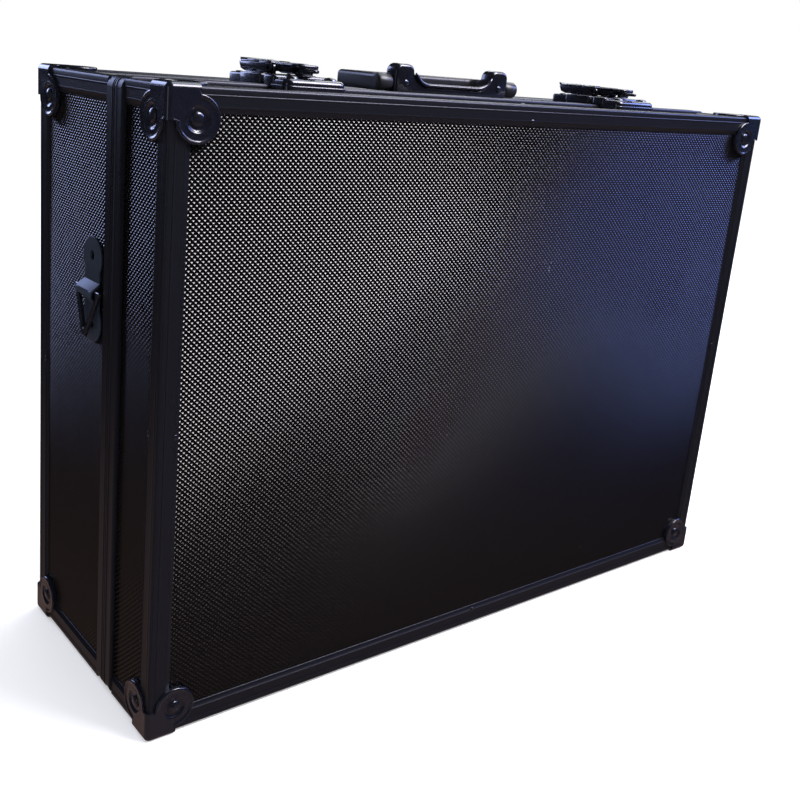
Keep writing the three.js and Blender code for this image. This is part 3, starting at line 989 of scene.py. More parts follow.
def rivet_tree() -> GeometryTree:
    """Domed rivet heads on points, each looking along the point's own normal.

    Returns:
        The tree.
    """
    tree = GeometryTree(
        "rivets",
        {"Radius": ("Float", 0.003), "Flatness": ("Float", 0.5), "Material": ("Material", None)},
    )
    given = tree.given.outputs
    dome = tree.node("GeometryNodeMeshUVSphere")
    dome.inputs["Segments"].default_value = 20
    dome.inputs["Rings"].default_value = 12
    tree.link(given["Radius"], dome.inputs["Radius"])
    looks = tree.node("GeometryNodeInputNamedAttribute", data_type="FLOAT_VECTOR")
    looks.inputs["Name"].default_value = "looks"
    share = tree.node("GeometryNodeInputNamedAttribute", data_type="FLOAT")
    share.inputs["Name"].default_value = "share"
    turn = tree.node("FunctionNodeAlignRotationToVector", axis="Z")
    tree.link(looks.outputs["Attribute"], turn.inputs["Vector"])
    flat = tree.node("ShaderNodeCombineXYZ")
    tree.link(share.outputs["Attribute"], flat.inputs["X"])
    tree.link(share.outputs["Attribute"], flat.inputs["Y"])
    tree.link(tree.math("MULTIPLY", share.outputs["Attribute"], given["Flatness"]), flat.inputs["Z"])
    spread = tree.node("GeometryNodeInstanceOnPoints")
    tree.link(tree.given.outputs[0], spread.inputs["Points"])
    tree.link(dome.outputs["Mesh"], spread.inputs["Instance"])
    tree.link(turn.outputs[0], spread.inputs["Rotation"])
    tree.link(flat.outputs[0], spread.inputs["Scale"])
    tree.end(spread.outputs[0])
    return tree


def frame_tree() -> GeometryTree:
    """A section swept round a rectangle with bent corners.

    Returns:
        The tree. The section comes in as a closed wire and the frame lies in X and Y.
    """
    tree = GeometryTree(
        "bent_frame",
        {
            "Width": ("Float", 0.4), "Height": ("Float", 0.3), "Bend": ("Float", 0.006),
            "Material": ("Material", None),
        },
    )
    given = tree.given.outputs
    path = tree.node("GeometryNodeCurvePrimitiveQuadrilateral")
    tree.link(given["Width"], path.inputs["Width"])
    tree.link(given["Height"], path.inputs["Height"])
    bent = tree.node("GeometryNodeFilletCurve", mode="POLY")
    tree.link(path.outputs[0], bent.inputs["Curve"])
    tree.link(given["Bend"], bent.inputs["Radius"])
    bent.inputs["Count"].default_value = 8
    straight = tree.node("GeometryNodeSetCurveNormal", mode="Z_UP")
    tree.link(bent.outputs[0], straight.inputs["Curve"])
    section = tree.node("GeometryNodeMeshToCurve")
    tree.link(given["Geometry"], section.inputs["Mesh"])
    sweep = tree.node("GeometryNodeCurveToMesh")
    tree.link(straight.outputs[0], sweep.inputs["Curve"])
    tree.link(section.outputs[0], sweep.inputs["Profile Curve"])
    tree.end(sweep.outputs[0])
    return tree


# ---- edge profiles -------------------------------------------------------------------------
@dataclass(frozen=True)
class End:
    """One end of a profile: the face or place that it runs to, and whether it is mitred."""

    at: float
    mitred: bool


@dataclass
class EdgeProfiles:
    """The angle profiles that frame one half, with their grooves and rounded arris."""

    half: Half
    finishes: Finishes
    leg: float = 12.0
    wall: float = 1.3
    arris: float = 1.3
    band: float = 3.4
    groove_start: float = 4.3
    groove_pitch: float = 0.86
    groove_depth: float = 0.08
    grooves: int = 5
    mitre: float = 0.2

    def leg_outline(self) -> list[Point2]:
        """The outer face of one leg, from the arris to its free edge.

        Returns:
            (distance from the arris, depth) of each point.
        """
        points = [(self.arris, 0.0), (self.band - 0.3, 0.0), (self.band, 0.18), (self.band + 0.25, 0.0)]
        points.append((self.groove_start - 0.15, 0.0))
        for i in range(self.grooves):
            start = self.groove_start + i * self.groove_pitch
            middle = start + self.groove_pitch / 2
            points.append((start, 0.05))
            points.append((middle - 0.12, self.groove_depth))
            points.append((middle + 0.12, self.groove_depth))
        end = self.groove_start + self.grooves * self.groove_pitch
        points += [(end, 0.05), (end + 0.3, 0.0), (end + 0.6, 0.04), (end + 0.9, 0.3)]
        points += [(self.leg - 0.7, 0.95), (self.leg - 0.15, 1.15), (self.leg, 1.4), (self.leg, 1.55)]
        return points

    def section(self) -> list[Point2]:
        """The whole section of an angle, as (distance from face B, depth under face A).

        Returns:
            The closed outline.
        """
        leg = self.leg_outline()
        bend = [(self.arris * (1 - math.sin(a)), self.arris * (1 - math.cos(a)))
                for a in (math.radians(15 * i) for i in range(1, 6))]
        other = [(v, u) for u, v in reversed(leg)]
        inner = [(self.wall, self.leg - 0.9), (self.wall, self.wall), (self.leg - 0.9, self.wall)]
        return list(reversed(leg)) + bend + list(reversed(other)) + inner

    def angle(
        self, along: str, first: tuple[str, int], second: tuple[str, int], start: End, end: End
    ) -> Shape:
        """One angle profile along an edge of the case.

        Args:
            along: the axis that it runs along.
            first: axis and side of one of its faces.
            second: axis and side of the other.
            start: its low end.
            end: its high end.

        Returns:
            Its shape.
        """
        rings = []
        for stop, turn in ((start, 1), (end, -1)):
            ring = []
            for u, v in self.section():
                back = max(u, v, self.wall) + self.mitre if stop.mitred else 0.0
                spot = {
                    along: stop.at + turn * back,
                    first[0]: CASE.inside(*first, v),
                    second[0]: CASE.inside(*second, u),
                }
                ring.append((spot["x"], spot["y"], spot["z"]))
            rings.append(ring)
        return Shape().loft(rings)

    def add(self, name: str, shape: Shape) -> None:
        """Makes one profile a piece.

        Args:
            name: the node that it stands for.
            shape: its shape.
        """
        piece = smooth(place(shape.mesh(name), name + "_extrusion"), 28)
        finish_piece(piece, self.half.body, "profile", self.finishes.profile, name)

    def build(self) -> None:
        """Makes the eight profiles of the half."""
        body, side, word = self.half.body, self.half.side, self.half.face
        face = ("y", side)
        low, high = CASE.low, CASE.high
        for name, up in (("bottom", -1), ("top", 1)):
            shape = self.angle("x", face, ("z", up), End(low[0], True), End(high[0], True))
            self.add(f"{body}_{word}_profile_{name}", shape)
        for name, across in (("left", -1), ("right", 1)):
            shape = self.angle("z", face, ("x", across), End(low[2], True), End(high[2], True))
            self.add(f"{body}_{word}_profile_{name}", shape)
        outer = End(CASE.inside("y", side, 0), True)
        near, far = node_box(f"{body}_edge_profile_top_left")
        rim = End(near.y if side > 0 else far.y, False)
        start, end = (outer, rim) if side < 0 else (rim, outer)
        for high_word, up in (("bottom", -1), ("top", 1)):
            for name, across in (("left", -1), ("right", 1)):
                shape = self.angle("y", ("x", across), ("z", up), start, end)
                self.add(f"{body}_edge_profile_{high_word}_{name}", shape)


# ---- panels --------------------------------------------------------------------------------
@dataclass
class Panels:
    """The boards of one half, each with an embossed skin on its outer face."""

    half: Half
    finishes: Finishes
    tree: GeometryTree
    column: float = 1.5
    row: float = 1.38
    rise: float = 0.5
    skin: float = 0.5
    hidden: float = 0.6

    def sheet(self, width: float, height: float) -> bpy.types.Mesh:
        """An embossed sheet, closed at its back, in X and Y with its base at Z = 0.

        Args:
            width: its width.
            height: its height.

        Returns:
            The sheet's mesh, in metres.
        """
        columns, rows = max(2, round(width / self.column)), max(2, round(height / self.row))
        data = self.tree.run(
            bpy.data.meshes.new("blank"),
            {
                "Columns": columns, "Rows": rows, "Width": width * MM, "Height": height * MM,
                "Rise": self.rise * MM, "Tip": 0.0, "Material": self.finishes.skin,
            },
        )
        cage = bmesh.new()
        cage.from_mesh(data)
        degenerate = [face for face in cage.faces if face.calc_area() < 1e-12]
        bmesh.ops.delete(cage, geom=degenerate, context="FACES_ONLY")
        rim = [edge for edge in cage.edges if edge.is_boundary]
        pulled = bmesh.ops.extrude_edge_only(cage, edges=rim)["geom"]
        lowered = [item for item in pulled if isinstance(item, bmesh.types.BMVert)]
        bmesh.ops.translate(cage, verts=lowered, vec=(0, 0, -self.skin * MM))
        edges = [item for item in pulled if isinstance(item, bmesh.types.BMEdge) and item.is_boundary]
        bmesh.ops.contextual_create(cage, geom=edges)
        layer = cage.loops.layers.uv.new("OFBake")
        for face in cage.faces:
            for loop in face.loops:
                spot = loop.vert.co
                u = 0.5 + 0.96 * spot.x / (width * MM)
                v = 0.5 + 0.96 * spot.y / (height * MM)
                if spot.z < -0.5 * self.skin * MM:
                    u, v = 0.002 + 0.012 * u, 0.002 + 0.012 * v
                loop[layer].uv = (u, v)
        cage.to_mesh(data)
        cage.free()
        return data

    def add(self, name: str, axis: str, side: int) -> None:
        """Makes one board with its skin.

        Args:
            name: the node that it stands for.
            axis: the axis that its outer face looks along.
            side: which way it looks.
        """
        low, high = node_box(name)
        others = [AXES.index(each) for each in AXES if each != axis]
        index = AXES.index(axis)
        window = self.window()
        spans = [window[i][1] - window[i][0] for i in others]
        middles = [(window[i][1] + window[i][0]) / 2 for i in others]
        outer = high[index] if side > 0 else low[index]
        data = self.sheet(*spans)
        turn = Matrix.Identity(4)
        for i in range(3):
            turn[i][0] = turn[i][1] = turn[i][2] = 0.0
        turn[others[0]][0] = 1.0
        turn[others[1]][1] = 1.0
        turn[index][2] = side
        for i, middle in zip(others, middles):
            turn[i][3] = middle * MM
        turn[index][3] = outer * MM
        data.transform(turn)
        skin = place(outwards(data), name + "_skin")
        board_low, board_high = list(low), list(high)
        if side > 0:
            board_high[index] -= self.skin
        else:
            board_low[index] += self.skin
        board = place(Shape().box(tuple(board_low), tuple(board_high)).mesh(name), name + "_board")
        finish_piece(skin, self.half.body, "panel", self.finishes.skin, name)
        finish_piece(board, self.half.body, "panel", self.finishes.board)

    def window(self) -> dict[int, Point2]:
        """The stretch of a face that shows between the profiles, and the little that they hide.

        Returns:
            The low and high place on each axis.
        """
        leg = 12.0 - self.hidden
        side = self.half.side
        near, far = node_box(f"{self.half.body}_mating_frame")
        inner = far.y - self.hidden if side > 0 else near.y + self.hidden
        outer = CASE.inside("y", side, leg)
        return {
            0: (CASE.low[0] + leg, CASE.high[0] - leg),
            1: (min(inner, outer), max(inner, outer)),
            2: (CASE.low[2] + leg, CASE.high[2] - leg),
        }

    def build(self) -> None:
        """Makes the five boards of the half."""
        body = self.half.body
        self.add(f"{body}_{self.half.face}_panel", "y", self.half.side)
        for name, axis, side in (("bottom", "z", -1), ("top", "z", 1), ("left", "x", -1), ("right", "x", 1)):
            self.add(f"{body}_{name}_panel", axis, side)


# ---- mating frames -------------------------------------------------------------------------
@dataclass
class MatingFrame:
    """The rim of one half, an extrusion bent round the case."""

    half: Half
    finishes: Finishes
    tree: GeometryTree
    bend: float = 6.0
    proud: float = 1.0
    chamfer: float = 0.76

    def section(self) -> list[Point2]:
        """The rim's section as (outwards from the case's faces, away from the split).

        Returns:
            The closed outline.
        """
        near, far = node_box(f"{self.half.body}_mating_frame")
        width = far.y - near.y
        proud, reach = self.proud, -6.5
        if self.half is Half.BASE:
            crown = [
                (proud - 0.5, 0.0), (proud - 0.12, 0.15), (proud, 0.5), (proud, 1.5),
                (proud - 0.5, 1.9), (proud - 0.5, 2.4), (proud, 2.7), (proud, 3.3),
                (proud - 0.3, 3.6), (proud - 0.3, width - 0.5), (proud - 0.6, width - 0.1), (0.1, width),
            ]
        else:
            crown = [
                (proud - 0.4, 0.0), (proud - 0.1, 0.15), (proud, 0.45), (proud, 1.0), (proud - 0.35, 1.35),
                (proud - 0.35, width - 2.1), (proud, width - 1.7), (proud, width - 1.0),
                (proud - 0.25, width - 0.4), (0.0, width),
            ]
        lip = [(reach + 0.3, 2.0), (reach, 1.7), (reach, 0.3), (reach + 0.3, 0.0)]
        return crown + [(-1.25, width), (-1.25, 2.0)] + lip

    def build(self) -> None:
        """Sweeps the section round the case."""
        name = f"{self.half.body}_mating_frame"
        side = self.half.side
        points = self.section()
        wire = bpy.data.meshes.new("section")
        edges = [(i, (i + 1) % len(points)) for i in range(len(points))]
        wire.from_pydata([(u * MM, v * MM, 0) for u, v in points], edges, [])
        width, height = CASE.high[0] - CASE.low[0], CASE.high[2] - CASE.low[2]
        data = self.tree.run(
            wire,
            {
                "Width": width * MM, "Height": height * MM, "Bend": (self.bend - self.proud) * MM,
                "Material": self.finishes.profile,
            },
        )
        self.settle(data, side)
        piece = place(outwards(data, 1e-7), name + "_rim")
        notches = Shape()
        for word in ("left", "right"):
            low, high = self.hinge_box(word)
            below, above = Vector((0.4, 0.3, 1.0)), Vector((0.4, 0.3, 0.25))
            notches.box(tuple(low - below), tuple(high + above))
        carve(piece, notches)
        smooth(piece, 30)
        finish_piece(piece, self.half.body, "profile", self.finishes.profile, name)

    @staticmethod
    def hinge_box(word: str) -> tuple[Vector, Vector]:
        """The room that a hinge takes.

        Args:
            word: left or right.

        Returns:
            Its lowest and highest corner.
        """
        boxes = [node_box(f"{word}_hinge_{part}") for part in ("base_leaf", "lid_leaf", "pin")]
        low = Vector([min(box[0][i] for box in boxes) for i in range(3)])
        high = Vector([max(box[1][i] for box in boxes) for i in range(3)])
        return low, high

    def settle(self, data: bpy.types.Mesh, side: int) -> None:
        """Stands the swept frame up round the case, chamfered under the hinge line.

        The chamfer lets the two rims turn past each other when the lid opens.

        Args:
            data: the frame as swept, lying in X and Y.
            side: the side of the split that it lies on.
        """
        near, far = node_box(f"{self.half.body}_mating_frame")
        mouth = near.y if side > 0 else far.y
        middle = (CASE.low[2] + CASE.high[2]) / 2
        clear = joint_place("lid_hinge").z + 0.2
        rise = [vertex.co.z for vertex in data.vertices]
        flip = 1 if max(rise) > -min(rise) else -1
        for vertex in data.vertices:
            x, y, z = vertex.co / MM
            height = middle + y
            if height < clear:
                height = max(height, clear - self.chamfer * abs(z))
            vertex.co = Vector((x, mouth + side * flip * z, height)) * MM


# ---- stamped corners -----------------------------------------------------------------------
@dataclass(frozen=True)
class CornerFace:
    """One of the three faces that meet at a corner of the case."""

    axis: str
    sides: dict[str, int]

    @property
    def others(self) -> tuple[str, str]:
        """The two axes that the face lies along."""
        first, second = (each for each in AXES if each != self.axis)
        return first, second

    def at(self, u: float, v: float, height: float) -> Point3:
        """A place on the face.

        Args:
            u: distance in from the edge on the first of its two axes.
            v: distance in from the edge on the second.
            height: height over the face.

        Returns:
            The place in space.
        """
        first, second = self.others
        depths = {self.axis: -height, first: u, second: v}
        x, y, z = (CASE.inside(axis, self.sides[axis], depths[axis]) for axis in AXES)
        return (x, y, z)


@dataclass
class StampedCorner:
    """A pressed corner with three round lobes, each with a raised ring and a bead at its edge."""

    half: Half
    finishes: Finishes
    sheet: float = 1.5
    neck: float = 15.2
    lobe: float = 11.3
    centre: float = 14.4
    arris: float = 3.0
    bead: float = 0.55
    dish: float = -1.6
    rays: int = 84

    def reach(self, angle: float) -> tuple[float, float]:
        """How far the plate goes from the rivet along a ray.

        Args:
            angle: the ray's angle in radians.

        Returns:
            The reach, and how much of a bead the edge has there, 0 to 1.
        """
        du, dv = math.cos(angle), math.sin(angle)
        low = -self.sheet + self.arris
        toward = [((low if d < 0 else self.neck) - self.centre) / d for d in (du, dv) if abs(d) > 1e-6]
        square = min(toward)
        if square <= self.lobe:
            return self.lobe, 1.0
        spot_u, spot_v = self.centre + du * square, self.centre + dv * square
        at_arris = min(spot_u, spot_v) <= low + 0.05
        return square, 0.0 if at_arris else 1.0

    @staticmethod
    def eased(reaches: list[tuple[float, float]]) -> list[tuple[float, float]]:
        """Softens the turns between the lobe and the neck.

        Args:
            reaches: reach and bead of each ray.

        Returns:
            The same, with a running mean away from the arrises.
        """
        count = len(reaches)
        soft = []
        for i, (reach, bead) in enumerate(reaches):
            near = [reaches[(i + k) % count] for k in range(-2, 3)]
            if all(each[1] > 0 for each in near):
                reach = sum(each[0] for each in near) / 5
            soft.append((reach, bead))
        return soft

    def ring_at(
        self, face: CornerFace, angles: Sequence[float], radii: Sequence[float], heights: Sequence[float]
    ) -> list[Point3]:
        """One ring of points round the rivet.

        Args:
            face: the face that the lobe lies on.
            angles: each ray's angle in radians.
            radii: each point's distance from the rivet.
            heights: each point's height over the face.

        Returns:
            The ring.
        """
        return [
            face.at(self.centre + r * math.cos(a), self.centre + r * math.sin(a), h)
            for a, r, h in zip(angles, radii, heights)
        ]

    def plate(self, face: CornerFace) -> Shape:
        """One lobe with its neck.

        Args:
            face: the face that it lies on.

        Returns:
            The closed plate.
        """
        low, dish = -1.2, self.dish
        rings: list[list[Point3]] = []
        stations = [
            (0.02, dish), (2.4, dish), (4.5, dish), (4.9, dish + 0.1), (5.4, dish + 0.7),
            (5.8, dish + 1.35), (6.1, 0.1), (6.4, 0.25), (6.8, 0.2), (7.4, 0.0),
        ]
        edge = [(2.3, 0.0), (1.75, 0.3), (1.25, 0.9), (0.8, 1.0), (0.35, 0.7), (0.08, 0.1), (0.0, -0.6)]
        angles = [2 * math.pi * i / self.rays for i in range(self.rays)]
        reaches = self.eased([self.reach(angle) for angle in angles])
        top = self.sheet - self.bead
        for radius, share in stations:
            height = top + share * self.bead
            rings.append(self.ring_at(face, angles, [radius] * self.rays, [height] * self.rays))
        for back, share in edge:
            radii = [reach - (back if bead else back * 0.3) for reach, bead in reaches]
            heights = []
            for _, bead in reaches:
                up = share if share > 0 or bead else 0.0
                heights.append(top + self.bead * (up * bead + (1 - bead)))
            rings.append(self.ring_at(face, angles, radii, heights))
        for radii in ([reach for reach, _ in reaches], [0.02] * self.rays):
            rings.append(self.ring_at(face, angles, radii, [low] * self.rays))
        return Shape().loft(rings)

    def build(self, up: int, across: int) -> None:
        """Makes one corner.

        Args:
            up: -1 for a lower corner, 1 for an upper one.
            across: -1 for the left, 1 for the right.
        """
        words = ("bottom" if up < 0 else "top", "left" if across < 0 else "right")
        name = f"{self.half.body}_corner_{words[0]}_{words[1]}"
        sides = {"x": across, "y": self.half.side, "z": up}
        shape = Shape()
        inset_by = -self.sheet + self.arris
        for axis in AXES:
            face = CornerFace(axis, sides)
            shape.add(self.plate(face))
            along = [CASE.inside(axis, sides[axis], depth) for depth in (inset_by, self.neck)]
            first, second = (CASE.inside(each, sides[each], inset_by) for each in face.others)
            shape.turned(axis, (first, second), [(self.arris, min(along)), (self.arris, max(along))], 32)
        ball = [CASE.inside(axis, sides[axis], inset_by) for axis in AXES]
        steps = 12
        section = [
            (self.arris * math.sin(math.pi * i / steps), ball[2] - self.arris * math.cos(math.pi * i / steps))
            for i in range(steps + 1)
        ]
        shape.turned("z", (ball[0], ball[1]), section, 32)
        piece = smooth(place(shape.mesh(name), name + "_pressing"), 40)
        finish_piece(piece, self.half.body, "stamped_corner", self.finishes.corner, name)


@dataclass
class Rivets:
    """The domed rivet heads of one half: three on each corner and one in the middle of each leg of the four
    profiles round the large face.
    """

    half: Half
    finishes: Finishes
    tree: GeometryTree
    big: float = 3.5
    small: float = 0.42
    flatness: float = 0.35
    lift: float = 0.25
    centre: float = 14.4
    setback: float = 9.4

    def spots(self) -> list[tuple[Point3, Point3, float]]:
        """Where the heads are.

        Returns:
            The place, the way that it looks and the share of full size of each head.
        """
        found = []
        y_side = self.half.side
        for up in (-1, 1):
            for across in (-1, 1):
                sides = {"x": across, "y": y_side, "z": up}
                for axis in AXES:
                    depths = {each: self.centre for each in AXES} | {axis: -self.lift}
                    spot = [CASE.inside(each, sides[each], depths[each]) for each in AXES]
                    looks = [float(sides[each]) if each == axis else 0.0 for each in AXES]
                    found.append((tuple(spot), tuple(looks), 1.0))
        face_y = CASE.inside("y", y_side, 0.1)
        looks_y = (0.0, float(y_side), 0.0)
        middle_z = (CASE.low[2] + CASE.high[2]) / 2
        for up in (-1, 1):
            found.append(((0.0, face_y, CASE.inside("z", up, self.setback)), looks_y, self.small))
            found.append(((0.0, CASE.inside("y", y_side, self.setback), CASE.inside("z", up, 0.1)),
                          (0.0, 0.0, float(up)), self.small))
        for across in (-1, 1):
            found.append(((CASE.inside("x", across, self.setback), face_y, middle_z), looks_y, self.small))
            found.append(((CASE.inside("x", across, 0.1), CASE.inside("y", y_side, self.setback), middle_z),
                          (float(across), 0.0, 0.0), self.small))
        return found

    def build(self) -> None:
        """Sets the heads on their points."""
        spots = self.spots()
        points = bpy.data.meshes.new("rivet_points")
        points.from_pydata([[c * MM for c in spot] for spot, _, _ in spots], [], [])
        looks = points.attributes.new("looks", "FLOAT_VECTOR", "POINT")
        looks.data.foreach_set("vector", [c for _, look, _ in spots for c in look])
        share = points.attributes.new("share", "FLOAT", "POINT")
        share.data.foreach_set("value", [size for _, _, size in spots])
        data = self.tree.run(
            points,
            {"Radius": self.big * MM, "Flatness": self.flatness, "Material": self.finishes.hardware},
        )
        piece = smooth(place(data, f"{self.half.body}_rivets"), 60)
        finish_piece(piece, self.half.body, "hardware", self.finishes.hardware)


# ---- handle --------------------------------------------------------------------------------
@dataclass
class Handle:
    """The handle: a bracket with two ears and a bail that folds flat."""

    finishes: Finishes
    soft: float = 2.1
    saddle: float = 5.0
    sweep: float = 13.0
    crown: float = 5.0

    def bracket(self) -> None:
        """Makes the bracket."""
        low, high = node_box("handle_bracket")
        bail_low, _ = node_box("handle_bail")
        half = -bail_low.x - 10.7
        foot, top = low.z, high.z
        saddle = CASE.top + self.saddle
        right = [(half, foot)]
        right += arc((half - self.crown, top - self.crown), self.crown, 0, 90, 8)
        right += arc((half - 10.0, top - self.crown), self.crown, 90, 155, 6)
        right += arc((half - 26.5, saddle + self.sweep), self.sweep, -28, -90, 10)
        left = [(-x, z) for x, z in reversed(right)]
        shape = Shape().prism("y", low.y, high.y, right + left, self.soft, 4)
        path = right[17:] + [(-x, z) for x, z in reversed(right[17:])]
        shape.tube([(x, low.y - 0.25, z + 0.15) for x, z in path], 1.2)
        screw = [(0.01, low.y - 0.75), (1.4, low.y - 0.65), (2.0, low.y - 0.3), (2.2, low.y + 0.4)]
        for side in (-1, 1):
            shape.turned("y", (side * (half - 8.0), CASE.top + 5.7), screw, 24)
            start, end = sorted((side * (half - 1.0), side * (half + 9.7)))
            shape.rod("x", start, end, self.pivot, 2.9, 0.5)
        piece = smooth(place(shape.mesh("handle_bracket"), "handle_bracket_casting"), 40)
        finish_piece(piece, "base", "hardware", self.finishes.hardware, "handle_bracket")

    @property
    def pivot(self) -> Point2:
        """Y and Z of the bail's pivot."""
        place_of = joint_place("handle_swing")
        return (place_of.y, place_of.z)

    def bail(self) -> None:
        """Makes the bail, one bar bent twice with round eyes at its ends."""
        low, high = node_box("handle_bail")
        arm, grip, corner, reach = 10.4, 12.0, 3.2, (high.z - low.z) / 2
        centre_x = high.x - arm / 2
        pivot_y, pivot_z = self.pivot
        far, near = high.y, high.y - grip
        inner_x = high.x - arm
        half = [(0.0, far)]
        half += arc((high.x - corner, far - corner), corner, 90, 0, 8)
        half += [(high.x, pivot_y), (inner_x, pivot_y)]
        half += arc((inner_x - 4.0, near - 4.0), 4.0, 0, 90, 8)
        half += [(0.0, near)]
        outline = half + [(-x, y) for x, y in reversed(half[1:-1])]
        shape = Shape().prism("z", pivot_z - reach, pivot_z + reach, outline, 2.6, 5)
        for side in (-1, 1):
            start, end = sorted((side * inner_x, side * high.x))
            section = [(reach - 1.2, start), (reach - 0.4, start + 0.35), (reach, start + 1.2),
                       (reach, end - 1.2), (reach - 0.4, end - 0.35), (reach - 1.2, end)]
            shape.turned("x", (pivot_y, pivot_z), section, 40)
        piece = smooth(place(shape.mesh("handle_bail"), "handle_bail_grip"), 40)
        tool = Shape()
        for side in (-1, 1):
            inner = side * (centre_x - arm / 2 - 1.0)
            outer = side * (centre_x + arm / 2 - 0.6)
            tool.rod("x", min(inner, outer), max(inner, outer), self.pivot, 3.2, 0.1)
        carve(piece, tool)
        smooth(piece, 40)
        finish_piece(piece, "handle", "handle", self.finishes.handle, "handle_bail")


